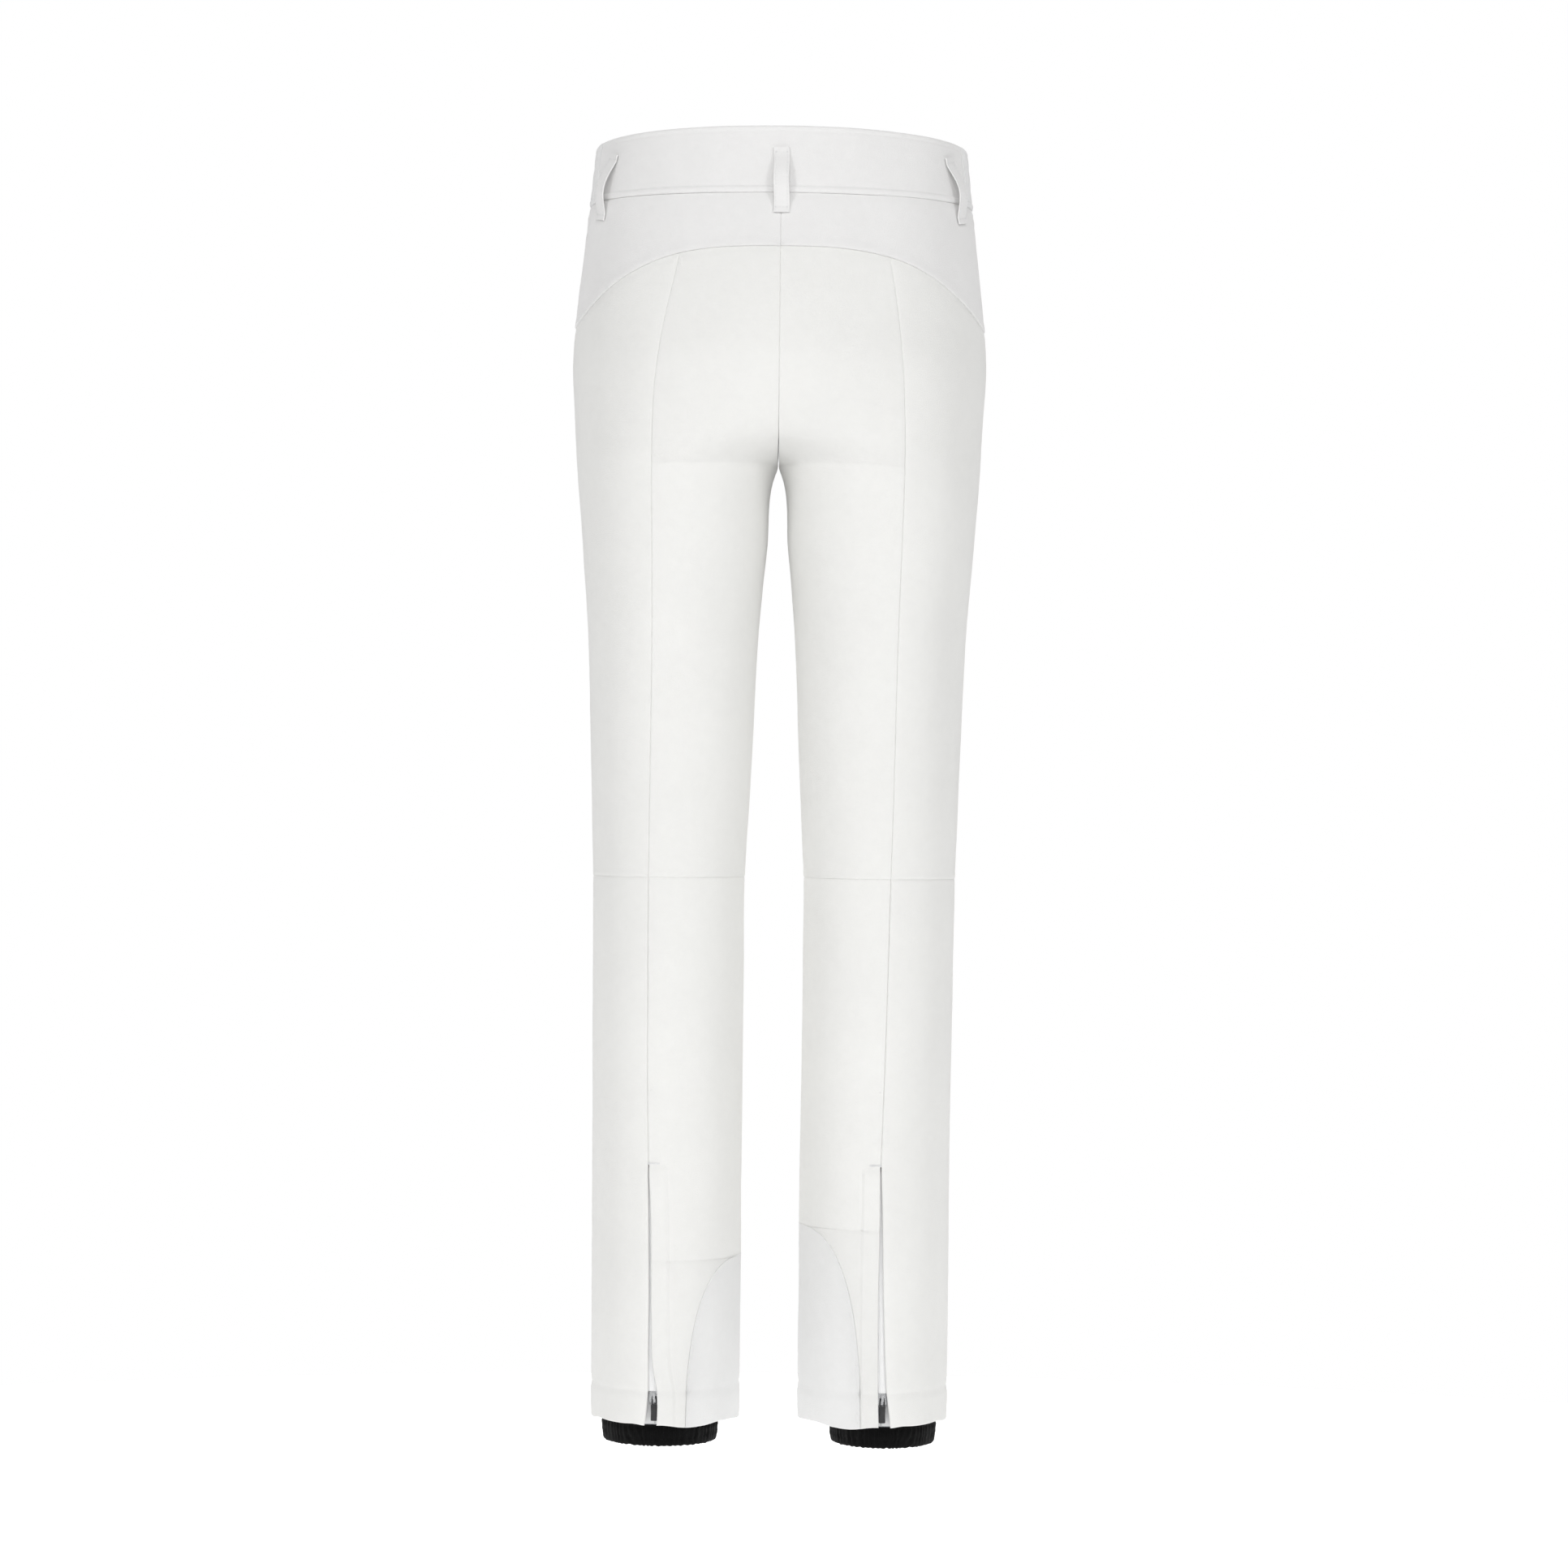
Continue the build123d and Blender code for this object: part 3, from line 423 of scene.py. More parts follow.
def fabric(name, color, rough=0.8, thread=0.55, weave="plain", depth=0.00010, mottle=0.03,
           sheen=0.15, fuzz=0.00005, spec=0.25):
    """Woven or knitted cloth: threads follow the grain map, with soft mottling and fuzz."""
    m, nodes, links, b = new_material(name, color, rough, sheen=sheen, spec=spec)
    where = nodes.new("ShaderNodeTexCoord")
    grain = nodes.new("ShaderNodeUVMap")
    grain.uv_map = "grain"
    split = nodes.new("ShaderNodeSeparateXYZ")
    links.new(grain.outputs["UV"], split.inputs[0])
    k = 2 * math.pi / (thread * MM)

    def add(x, y):
        return math_node(nodes, links, "ADD", x, y)

    def times(x, y):
        return math_node(nodes, links, "MULTIPLY", x, y)

    u = times(split.outputs[0], k)
    v = times(split.outputs[1], k)
    if weave == "twill":
        v = add(times(v, 0.5), times(u, 0.5))
    su, sv = (math_node(nodes, links, "SINE", x, 0.0) for x in (u, v))
    height = add(su, times(sv, 0.15)) if weave == "rib" else times(su, sv)
    big = noise_node(nodes, links, where.outputs["Object"], 14.0, 3.0)
    small = noise_node(nodes, links, where.outputs["Object"], 900.0, 2.0, 0.6)
    mid = noise_node(nodes, links, where.outputs["Object"], 130.0, 3.0, 0.55)
    mix = add(add(add(times(big, 0.5), times(mid, 0.3)), times(height, 0.035)), times(small, 0.15))
    links.new(ramp_node(nodes, links, mix, [(0.3, shade(color, 1 - mottle)),
                                            (0.62, shade(color, 1 + mottle * 0.5))]),
              b.inputs["Base Color"])
    uneven_gloss(nodes, links, mid, rough - 0.07, rough + 0.07, b)
    threads = bump_node(nodes, links, height, 0.5, depth)
    hairs = bump_node(nodes, links, small, 0.5, fuzz * 8, threads)
    links.new(hairs, b.inputs["Normal"])
    return m


def hard(name, color, rough, metallic=0.0, wear=0.06, coat=0.0, grit=900.0, depth=0.00003):
    """Metal, enamel, nylon or moulded rubber with fine grit and uneven gloss."""
    m, nodes, links, b = new_material(name, color, rough, metallic=metallic, coat=coat)
    where = nodes.new("ShaderNodeTexCoord")
    fine = noise_node(nodes, links, where.outputs["Object"], grit, 4.0, 0.6)
    wide = noise_node(nodes, links, where.outputs["Object"], 160.0, 3.0)
    links.new(ramp_node(nodes, links, wide, [(0.3, shade(color, 1 - wear)),
                                             (0.7, shade(color, 1 + wear))]),
              b.inputs["Base Color"])
    uneven_gloss(nodes, links, fine, max(0.05, rough - 0.1), min(1.0, rough + 0.12), b)
    links.new(bump_node(nodes, links, fine, 0.4, depth), b.inputs["Normal"])
    return m


WHITE = (0.81, 0.808, 0.79)
CLOTH = fabric("softshell", WHITE, 0.78, 0.6, "plain", 0.00008)
YOKE = fabric("softshell_yoke", (0.805, 0.80, 0.795), 0.78, 0.6, "plain", 0.00008)
BAND = fabric("waistband_cloth", (0.81, 0.805, 0.80), 0.78, 0.6, "plain", 0.00008)
ELASTIC = fabric("elastic_cloth", (0.79, 0.79, 0.79), 0.8, 1.1, "rib", 0.00015)
GUARD = fabric("guard_cloth", (0.80, 0.80, 0.795), 0.62, 0.9, "plain", 0.00012, sheen=0.05)
FLEECE = fabric("fleece_back", (0.66, 0.67, 0.68), 0.95, 1.4, "rib", 0.0003, 0.07, 0.5, 0.00015)
LINING = fabric("brushed_lining", (0.58, 0.59, 0.61), 0.92, 1.6, "twill", 0.0003, 0.06, 0.4)
MESH = fabric("mesh_lining", (0.55, 0.56, 0.57), 0.85, 2.2, "plain", 0.0004, 0.08, 0.2)
GAITER = fabric("gaiter_cloth", (0.004, 0.004, 0.0042), 0.6, 0.5, "plain", 0.00006, 0.3, 0.02, spec=0.12)
GAITER_EL = fabric("gaiter_elastic", (0.0028, 0.0028, 0.003), 0.7, 1.2, "rib", 0.0002, 0.35, 0.015,
                   spec=0.1)
# zip tape: white of its own, set brighter than the cloth as painted light to lift the shade where it lies
# recessed in the slits
TAPE_PAINTED_LIGHT = fabric("zip_tape", (0.84, 0.84, 0.84), 0.8, 0.9, "twill", 0.00015, 0.05)
WEBBING = fabric("hanger_tape", (0.78, 0.79, 0.80), 0.75, 1.3, "rib", 0.0003, 0.05)
# thread: greyer than the cloth, partly its own tone and partly painted shade, so the stitch lines read like
# shaded grooves
THREAD_PAINTED_SHADE = fabric("thread", (0.74, 0.74, 0.745), 0.6, 0.5, "twill", 0.0001, 0.05, 0.1)
COIL = hard("nylon_coil", (0.72, 0.73, 0.74), 0.32, coat=0.3)
ENAMEL = hard("slider_enamel", (0.66, 0.67, 0.68), 0.27, metallic=0.85, coat=0.3)
STEEL = hard("snap_steel", (0.36, 0.365, 0.37), 0.38, metallic=1.0, wear=0.12)
LINK = hard("puller_link", (0.05, 0.05, 0.054), 0.35, metallic=0.8)
RUBBER = hard("puller_rubber", (0.020, 0.020, 0.021), 0.5, grit=1500.0, depth=0.00005)


# ---------------------------------------------------------------- outlines of the panels
def yoke_z(x):
    return -90.0 - 57.0 * (np.abs(x) / 167.2) ** 3.4


def curve_yoke(p):
    return yoke_z(p[..., 0])


def curve_seam(p):
    y = p[..., 1]
    return -(48.0 - 0.05208 * y + 3.364e-4 * y * y)


def curve_top(p):
    y = p[..., 1]
    return -(-0.1020 * y + 1.654e-4 * y * y)


def flat_curve(z):
    return lambda p: np.full(p.shape[:-1], float(z))


def phi_side(z):
    _, cy, _, b = girth(z)
    return np.arcsin(np.clip((SEAM_Y - cy) / b, -1, 1))


def phi_inseam(z):
    return np.pi - phi_side(z)


def legs_apart(z):
    """0 while both legs meet on the centre line, 1 once they are clear of it."""
    cx, _, a, _ = girth(z)
    return np.clip((cx - a) / 3.0, 0, 1)


def phi_x(z, x):
    cx, _, a, _ = girth(z)
    return np.arccos(np.clip((x - cx) / a, -1, 1))


def phi_centre(z):
    return lerp(np.minimum(phi_x(z, 0.0), phi_inseam(z)), phi_inseam(z), legs_apart(z))


def phi_centre_front(z):
    inseam = phi_inseam(z) - 2 * np.pi
    return lerp(np.maximum(-phi_x(z, 0.0), inseam), inseam, legs_apart(z))


PRINCESS = {  # the two legs hang a little differently
    1: np.array([(79.3, -84), (82.1, -99), (91.2, -140), (100, -198), (101.9, -295), (100.9, -413),
                 (102, -598), (101.3, -708), (100.9, -767), (99.2, -831)], float),
    -1: np.array([(85.8, -84), (89.4, -104), (95.5, -145), (99.6, -185), (101.9, -282), (98.5, -413),
                  (96.5, -540), (95.2, -598), (92.9, -708), (91.3, -767), (89.2, -831)], float)}
PZ = np.linspace(-84, -831, 120)


def natural(xs, ys, at):
    """A smooth curve through points, for the princess seam."""
    order = np.argsort(xs)
    xs, ys = xs[order], ys[order]
    n = len(xs)
    h = np.diff(xs)
    m = np.zeros((n, n))
    r = np.zeros(n)
    m[0, 0] = m[-1, -1] = 1
    for i in range(1, n - 1):
        m[i, i - 1:i + 2] = h[i - 1], 2 * (h[i - 1] + h[i]), h[i]
        r[i] = 6 * ((ys[i + 1] - ys[i]) / h[i] - (ys[i] - ys[i - 1]) / h[i - 1])
    k = np.linalg.solve(m, r)
    j = np.clip(np.searchsorted(xs, at) - 1, 0, n - 2)
    a, b = xs[j + 1] - at, at - xs[j]
    return ((k[j] * a**3 + k[j + 1] * b**3) / (6 * h[j]) + (ys[j] / h[j] - k[j] * h[j] / 6) * a
            + (ys[j + 1] / h[j] - k[j + 1] * h[j] / 6) * b)


PX = {k: natural(t[:, 1], t[:, 0], PZ) for k, t in PRINCESS.items()}
VENT = {  # level, flap edge, outer edge
    1: np.array([(-831, 98.9, 99.5), (-872, 96.4, 98.4), (-938, 95.4, 97.3), (-984, 94.4, 97.4),
                 (-1000, 92.6, 97.2), (-1010, 89.9, 97.0), (-1030, 89.2, 98.2), (-1050, 90.4, 101.6)]),
    -1: np.array([(-831, 88.8, 89.5), (-872, 88.9, 90.9), (-938, 88.0, 92.3), (-984, 88.2, 94.0),
                  (-1010, 88.5, 95.4), (-1030, 88.8, 97.6), (-1050, 89.4, 100.4)])}
GUARD_SIZE = {1: (42.6, 134.0), -1: (50.6, 160.0)}  # width and height


def princess_x(z, side=1):
    return np.interp(-np.asarray(z), -PZ, PX[int(side)])


def vent_x(z, edge, side=1):
    """The hem vent's edges: edge -1 is the flap towards the inseam, +1 the outer panel's edge."""
    t = VENT[int(side)]
    z = np.asarray(z, float)
    k = 1 if edge < 0 else 2
    return sum(np.interp(-(z + d), -t[:, 0], t[:, k]) for d in (-6, -3, 0, 3, 6)) / 5


def guard_x(z, side=1):
    """The scuff guard's outline: a rounded arch over the inner ankle."""
    w, h = GUARD_SIZE[int(side)]
    t = np.clip((z - (HEM_Z - 1)) / h, 0, 1)
    return GUARD_X + w * (1 - t ** 2.3) ** (1 / 2.3)


def guard_top(x, side=1):
    w, h = GUARD_SIZE[int(side)]
    return HEM_Z - 1 + h * (1 - np.clip(np.abs(x - GUARD_X) / w, 0, 1) ** 2.3) ** (1 / 2.3)


def phi_guard(z, side=1):
    return np.where(z < HEM_Z - 1 + GUARD_SIZE[int(side)][1], phi_x(z, guard_x(z, side)), np.pi)


def calm(p):
    """Less draping beside the hem zips, where the slider passes beneath."""
    x, y, z = np.abs(p[..., 0]), p[..., 1], p[..., 2]
    return 1 - 0.8 * ridge(x, 93, 17) * ramp(-z, 800, 832) * (y > 0)


def patch(us, vs, left, right, bottom, top, start):
    """Points of a panel between two seams (functions of z) and two curves (functions of points)."""
    def level(curve):
        z = np.full(us.shape, float(start))
        for _ in range(25):
            z = lerp(z, curve(body_point(lerp(left(z), right(z), us), z)), 0.7)
        return z
    zb, zt = level(bottom), level(top)
    z = zb[:, None] + (zt - zb)[:, None] * vs[None, :]
    phi = lerp(left(z), right(z), us[:, None])
    return phi, z


def rows(parts):
    """Levels from stretches of (from, to, step), as shares from the lowest to the highest."""
    out = []
    for lo, hi, step in parts:
        out.append(np.arange(lo, hi, step))
    z = np.unique(np.concatenate(out + [[parts[-1][1]]]))
    return (z - z[0]) / (z[-1] - z[0])


def fill_cleft(p, phi):
    """The cloth bridges the cleft at the centre seams instead of following it in."""
    x, z = np.abs(p[..., 0]), p[..., 2]
    cx, cy, a, b = girth(z)
    c = np.clip(-cx / a, -0.93, 0)
    m = (b / a) * (-c) / np.sqrt(1 - c * c)
    s = 13.0
    fade = ramp(z, -262, -236)
    out = p.copy()
    out[..., 1] += np.sign(np.sin(phi)) * 0.85 * np.minimum(m, 1.05) * s * np.exp(-x / s) * fade
    return out


def hem_wave(p):
    """The hems hang a little unevenly."""
    out = p.copy()
    k = ramp(-p[..., 2], 985, 1041)
    out[..., 2] += k * (1.5 * noise(p * [1, 1, 0], 34, 21) + 0.7 * noise(p * [1, 1, 0], 13, 22))
    return out


def hem_swell(p):
    """The turned hem is a little plumper than the leg, with a soft groove along its stitching."""
    z = p[..., 2]
    return (0.55 * ramp(-z, 1013.5, 1020) * (1 - 0.6 * ramp(-z, 1030, 1042))
            - 0.55 * ridge(z, -1013, 2.2) * (0.75 + 0.35 * noise(p, 11, 23)))


def gathers(p):
    """Crinkles where the elastic pulls the cloth in at the sides of the waist."""
    turn = np.arctan2(p[..., 1], np.abs(p[..., 0]))
    side = (ramp(turn, math.radians(-40), math.radians(-32))
            * (1 - ramp(turn, math.radians(8), math.radians(16))))
    fold = np.sin(turn * 155 / 6.2 * 6.28 + 2.2 * noise(p, (30, 30, 14), 31))
    return side, fold


def body_lift(p):
    side, fold = gathers(p)
    z = p[..., 2]
    crinkle = side * ramp(z, -92, -50) * (0.75 * fold + 0.5 * noise(p, (8, 8, 5), 32))
    return drape(p) * calm(p) + crinkle


def cloth_piece(name, p, phi, specs, node, slot, mats, side, keep=None, extra=0.0, inner=0.0):
    """A cloth panel made for the left and mirrored for the right, with its own folds."""
    q = p.copy()
    q[..., 0] *= side
    soft = body_lift(q)
    total = soft + seam_lift(q, specs, keep) + extra
    verts, quads, uv, group = shell_mesh(q, total, SHELL, radial(phi, side), keep, soft + inner)
    obj = quads_object(name, verts, quads, uv, np.array([0, 1, 0])[group], mats, "pants", node, slot)
    return cloth(obj, p, keep, 1)


# ---------------------------------------------------------------- stitches
def stitch_piece(name, lines, material, slot, pitch=3.0, length=2.1, width=0.42, ride="pants",
                 height=0.28):
    """Each line is (points, outward directions); a stitch is a small raised lozenge."""
    verts, quads = [], []
    for points, out in lines:
        seg = np.linalg.norm(np.diff(points, axis=0), axis=1)
        s = np.concatenate([[0], np.cumsum(seg)])
        count = int(s[-1] // pitch)
        if count < 1:
            continue
        mid = (np.arange(count) + 0.5) * s[-1] / count
        pos = np.stack([np.interp(mid, s, points[:, k]) for k in range(3)], -1)
        nrm = np.stack([np.interp(mid, s, out[:, k]) for k in range(3)], -1)
        ahead = np.stack([np.interp(mid + 0.5, s, points[:, k]) for k in range(3)], -1)
        behind = np.stack([np.interp(mid - 0.5, s, points[:, k]) for k in range(3)], -1)
        t = ahead - behind
        t /= np.maximum(np.linalg.norm(t, axis=1, keepdims=True), 1e-9)
        nrm /= np.linalg.norm(nrm, axis=1, keepdims=True)
        w = np.cross(nrm, t)
        ring = []
        for f, r in ((-0.5, 0.25), (-0.32, 0.9), (0.32, 0.9), (0.5, 0.25)):
            for cw, ch in ((-1, 0), (-0.5, 0.85), (0.5, 0.85), (1, 0)):
                ring.append(pos + t * f * length + w * cw * width * 0.5 * r
                            + nrm * (ch * r * height - 0.12))
        ring = np.stack(ring, 1)
        base = sum(len(v) for v in verts)
        verts.append(ring.reshape(-1, 3))
        for i in range(count):
            o = base + i * 16
            for a in range(3):
                for c in range(3):
                    quads.append((o + a * 4 + c, o + a * 4 + c + 1, o + a * 4 + c + 5, o + a * 4 + c + 4))
            quads.append((o, o + 3, o + 2, o + 1))
            quads.append((o + 12, o + 13, o + 14, o + 15))
    return quads_object(name, np.concatenate(verts), np.array(quads), np.zeros((sum(map(len, verts)), 2)),
                        None, (material,), ride, None, slot, 80)


def body_line(phi, z, side, extra=0.0):
    """A line of points on the finished cloth, for stitching."""
    p = hem_wave(body_point(phi, z))
    p[..., 0] *= side
    n = radial(phi, side)
    lift = body_lift(p) + hem_swell(p) + extra
    return p + n * lift[..., None], n


# ---------------------------------------------------------------- upper panels
SEAM = {"dip": 0.32, "width": 3.0, "pucker": 0.14, "roll": 0.45}
KNEE_SEAM = {"dip": 0.18, "width": 2.4, "pucker": 0.24, "lap": 0.25, "lap_width": 5, "roll": 0.4}
UPPER_ROWS = rows([(-598, -590, 1.2), (-590, -280, 3.4), (-280, -222, 1.3), (-222, -104, 2.8),
                   (-104, -96, 0.9)])


def upper_panels(side_name, side):
    mats = (CLOTH, FLEECE)
    us = spaced(100, 2.8)
    phi, z = patch(us, UPPER_ROWS, lambda t: phi_x(t, princess_x(t, side)), phi_centre,
                   flat_curve(KNEE_Z), curve_yoke, -100)
    p = fill_cleft(body_point(phi, z), phi)
    cloth_piece(f"seat_{side_name}", p, phi,
                {"left": {**SEAM, "lap": 0.25, "stitch": (4.6,) if side < 0 else ()},
                 "right": {**SEAM, "dip": 0.4}, "top": {"dip": 0.7, "width": 4.5, "pucker": 0.18},
                 "bottom": KNEE_SEAM}, f"seat_panel_{side_name}", "softshell", mats, side)
    us = spaced(90, 2.8)
    phi, z = patch(us, UPPER_ROWS, phi_side, lambda t: phi_x(t, princess_x(t, side)),
                   flat_curve(KNEE_Z), curve_yoke, -130)
    p = body_point(phi, z)
    cloth_piece(f"back_side_{side_name}", p, phi,
                {"left": {**SEAM, "dip": 0.35}, "right": SEAM,
                 "top": {"dip": 0.7, "width": 4.5, "pucker": 0.18}, "bottom": KNEE_SEAM},
                f"back_side_panel_{side_name}", "softshell", mats, side)
    us = spaced(240, 2.8)
    vs = spaced(58, 2.4)
    phi, z = patch(us, vs, phi_side, phi_centre, curve_yoke, curve_seam, -80)
    p = body_point(phi, z)
    cloth_piece(f"yoke_{side_name}", p, phi,
                {"left": SEAM, "right": {**SEAM, "dip": 0.35},
                 "top": {"dip": 0.8, "width": 3.5, "pucker": 0.3},
                 "bottom": {"dip": 0.05, "width": 3, "lap": 0.55, "lap_width": 6.5, "pucker": 0.2,
                            "roll": 0.9}},
                f"back_yoke_{side_name}", "softshell_yoke", (YOKE, FLEECE), side)
    front_panel(side_name, side, mats)


POCKET = ((112.0, -80.0), (135.0, -205.0))
FLY_LOW = -182.0


def front_panel(side_name, side, mats):
    """One front panel from waist to knee, with the slanted pocket window and the fly's edge."""
    (x1, z1), (x2, z2) = POCKET
    zs = np.unique(np.round(np.concatenate([
        np.arange(-598, -590, 1.2), np.arange(-590, -280, 3.6), np.arange(-280, -222, 1.4),
        np.arange(-222, -72, 2.6), np.arange(-72, -46.9, 1.6),
        z2 + 3 + np.array([-1.2, -0.5, 0.0, 0.5, 1.2]), z1 - 1 + np.array([-1.2, -0.5, 0, 0.5, 1.2]),
        FLY_LOW + np.array([-1.2, -0.5, 0.0, 0.5, 1.2])]), 2))
    vs = (zs - zs[0]) / (zs[-1] - zs[0])
    edge = spaced(60, 2.8)
    window = 0.42 + np.array([0.0, 0.03, 0.05, 0.08])
    us = np.unique(np.round(np.concatenate([edge * 0.42, window, 0.50 + edge * 0.5]), 6))

    def pocket_phi(z, sign):
        t = np.clip((z1 - z) / (z1 - z2), -0.4, 1.6)
        x = lerp(x1, x2, t) + sign * 6.0 / 0.82
        k = ramp(z, -420, -215)
        plain = lerp(phi_centre_front(z), phi_side(z), 0.46 + 0.04 * sign)
        return lerp(plain, -phi_x(z, x), k)

    def across(u, z):
        left, right = phi_side(z), phi_centre_front(z)
        pa, pb = pocket_phi(z, 1), pocket_phi(z, -1)
        out = np.where(u < 0.42, lerp(left, pa, u / 0.42),
                       np.where(u <= 0.5, lerp(pa, pb, (u - 0.42) / 0.08),
                                lerp(pb, right, (u - 0.5) / 0.5)))
        return out

    u = us[:, None] + 0 * vs[None, :]
    zt = np.full(us.shape, -50.0)
    for _ in range(25):
        zt = lerp(zt, curve_seam(body_point(across(us, zt), zt)), 0.7)
    level = zs[None, :] + 0 * u
    z = level + (zt[:, None] - zs[-1]) * np.clip((level + 80) / (zs[-1] + 80), 0, 1)
    phi = across(u, z)
    slit = np.where(z > FLY_LOW, 2.8, 0.0) * ramp(z, FLY_LOW - 0.4, FLY_LOW + 0.4)
    fly = -phi_x(z, slit)
    phi = np.where(z > FLY_LOW - 0.5, phi + (fly - phi_centre_front(z)) * ramp(u, 0.75, 1.0), phi)
    p = fill_cleft(body_point(phi, z), phi)
    zc = (z[:-1, :-1] + z[1:, 1:]) / 2
    uc = (us[:-1] + us[1:])[:, None] / 2
    keep = ~((uc > 0.42) & (uc < 0.5) & (zc > z2 + 3) & (zc < z1 - 1))
    cloth_piece(f"front_{side_name}", p, phi,
                {"left": {**SEAM, "dip": 0.35}, "right": {**SEAM, "dip": 0.4},
                 "top": {"dip": 0.8, "width": 3.5, "pucker": 0.3}, "bottom": KNEE_SEAM,
                 "hole": {"dip": 0.0, "lap": 0.5, "lap_width": 4, "roll": 0.7, "pucker": 0.08,
                          "stitch": (3.2,)}},
                f"front_panel_{side_name}", "softshell", mats, side, keep)


for side_name, side in SIDES:
    upper_panels(side_name, side)


# ---------------------------------------------------------------- lower legs
def guard_levels(side):
    t = np.radians(np.arange(90, 0, -1.6))
    return HEM_Z - 1 + GUARD_SIZE[int(side)][1] * np.sin(t)


def lower_panels(side_name, side):
    mats = (CLOTH, FLEECE)
    base = np.concatenate([np.arange(HEM_Z, HEM_Z + 6, 0.6), np.arange(HEM_Z + 6, HEM_Z + 40, 1.3),
                           np.arange(HEM_Z + 40, -606, 3.6), np.arange(-606, KNEE_Z + 0.1, 1.0),
                           ZIP_TOP + np.array([-1.5, -0.7, 0.0, 0.7, 1.5])])
    guarded = np.unique(np.round(np.concatenate([base, guard_levels(side), [KNEE_Z]]), 2))
    guarded = guarded[(guarded >= HEM_Z) & (guarded <= KNEE_Z)]
    plain = np.unique(np.round(np.concatenate([base, [KNEE_Z]]), 2))
    plain = plain[(plain >= HEM_Z) & (plain <= KNEE_Z)]

    def edge(k):
        return lambda z: phi_x(z, np.where(z > ZIP_TOP, princess_x(z, side), vent_x(z, k, side)))

    def grid(us, zs, left, right):
        z = zs[None, :] + 0 * us[:, None]
        phi = lerp(left(z), right(z), us[:, None])
        return phi, z, hem_wave(body_point(phi, z))

    def across(p):
        return np.concatenate([np.zeros((1, p.shape[1])),
                               np.cumsum(np.linalg.norm(np.diff(p, axis=0), axis=-1), 0)])

    knee = {**KNEE_SEAM, "lap": 0.0}
    hem = {"dip": 0.0, "roll": 0.9, "pucker": 0.1}
    # the inner calf carries the flap that covers the zip
    w = spaced(80, 2.4)
    us = np.unique(np.concatenate([w, np.linspace(0.135, 0.235, 9)]))
    phi, z, p = grid(us, guarded, edge(-1), lambda t: np.minimum(phi_inseam(t), phi_guard(t, side)))
    cum = across(p)
    below = ramp(-z, -ZIP_TOP - 1.5, -ZIP_TOP + 7)
    wide = 14.0 + 0.5 * noise(p, (60, 60, 60), 24)
    flap = below * (1.3 * (1 - ramp(cum, wide - 1.6, wide + 1.4)) + 0.3 * ridge(cum - wide, 3, 2.2)
                    + 0.2 * ridge(cum, 4, 5))
    held = ramp(z, -836, -831) * (1 - ramp(z, -772, -769))
    stitched = -0.6 * ridge(cum, 5.6, 0.8) * held
    edge_top = -0.5 * ridge(z, -770.5, 1.0) * (cum < 6.0)
    pressed = (-0.5 * ridge(cum, 4.8, 1.0) * (1 - ramp(-z, 760, 775))) if side < 0 else 0.0
    cloth_piece(f"calf_inner_{side_name}", p, phi,
                {"left": {**SEAM, "dip": 0.25, "roll": 0.7}, "right": {**SEAM, "dip": 0.3},
                 "top": knee, "bottom": hem},
                f"calf_inner_panel_{side_name}", "softshell", mats, side,
                extra=flap + hem_swell(p) + stitched + edge_top + pressed, inner=flap)
    phi, z, p = grid(spaced(72, 2.4), plain, phi_side, edge(1))
    cum = across(p[::-1])[::-1]
    below = ramp(-z, -ZIP_TOP - 1.5, -ZIP_TOP + 7)
    raised = below * 1.0 * np.exp(-(cum / 11.0) ** 3)
    cloth_piece(f"calf_outer_{side_name}", p, phi,
                {"left": {**SEAM, "dip": 0.3}, "right": {**SEAM, "dip": 0.3, "roll": 0.9},
                 "top": knee, "bottom": hem},
                f"calf_outer_panel_{side_name}", "softshell", mats, side,
                extra=raised + hem_swell(p), inner=raised)
    tip = HEM_Z - 1 + GUARD_SIZE[int(side)][1]

    def shin_edge(t):
        seam = phi_inseam(t) - 2 * np.pi
        return np.where(t > tip - 1.0, seam, np.maximum(seam, -phi_guard(t, side)))

    # near the guard only the edge columns follow its outline
    us = spaced(130, 3.0)[:, None]
    z = guarded[None, :] + 0 * us
    seam, end = phi_inseam(z) - 2 * np.pi, shin_edge(z)
    power = 3.0 - 1.75 * np.clip((end - seam) / (end - seam).max(), 0, 1)
    phi = lerp(phi_side(z), seam, us) + (end - seam) * us ** power
    p = hem_wave(body_point(phi, z))
    cloth_piece(f"shin_{side_name}", p, phi,
                {"left": {**SEAM, "dip": 0.3}, "right": {**SEAM, "dip": 0.3}, "top": knee, "bottom": hem},
                f"shin_panel_{side_name}", "softshell", mats, side, extra=hem_swell(p))
    # scuff guard: from back to front round the inner ankle
    w = 0.5 - 0.5 * np.cos(np.linspace(0, np.pi, 120))
    start = phi_guard(np.array(HEM_Z + 0.3), side)
    phi_u = lerp(start, 2 * np.pi - start, w)
    zt = np.full(w.shape, -950.0)
    for _ in range(60):
        zt = lerp(zt, guard_top(body_point(phi_u, zt)[..., 0], side), 0.6)
    zt = np.maximum(zt, HEM_Z + 0.25)
    vs = spaced(150, 3.0, 0.45)
    z = HEM_Z + (zt - HEM_Z)[:, None] * vs[None, :]
    phi = phi_u[:, None] + 0 * z
    p = hem_wave(body_point(phi, z))
    cloth_piece(f"guard_{side_name}", p, phi,
                {"top": {"dip": 0.1, "width": 2, "roll": 0.4, "lap": 0.3, "lap_width": 4, "pucker": 0.14,
                         "stitch": (2.0,)},
                 "bottom": hem},
                f"scuff_guard_{side_name}", "guard_cloth", (GUARD, FLEECE), side, extra=hem_swell(p))
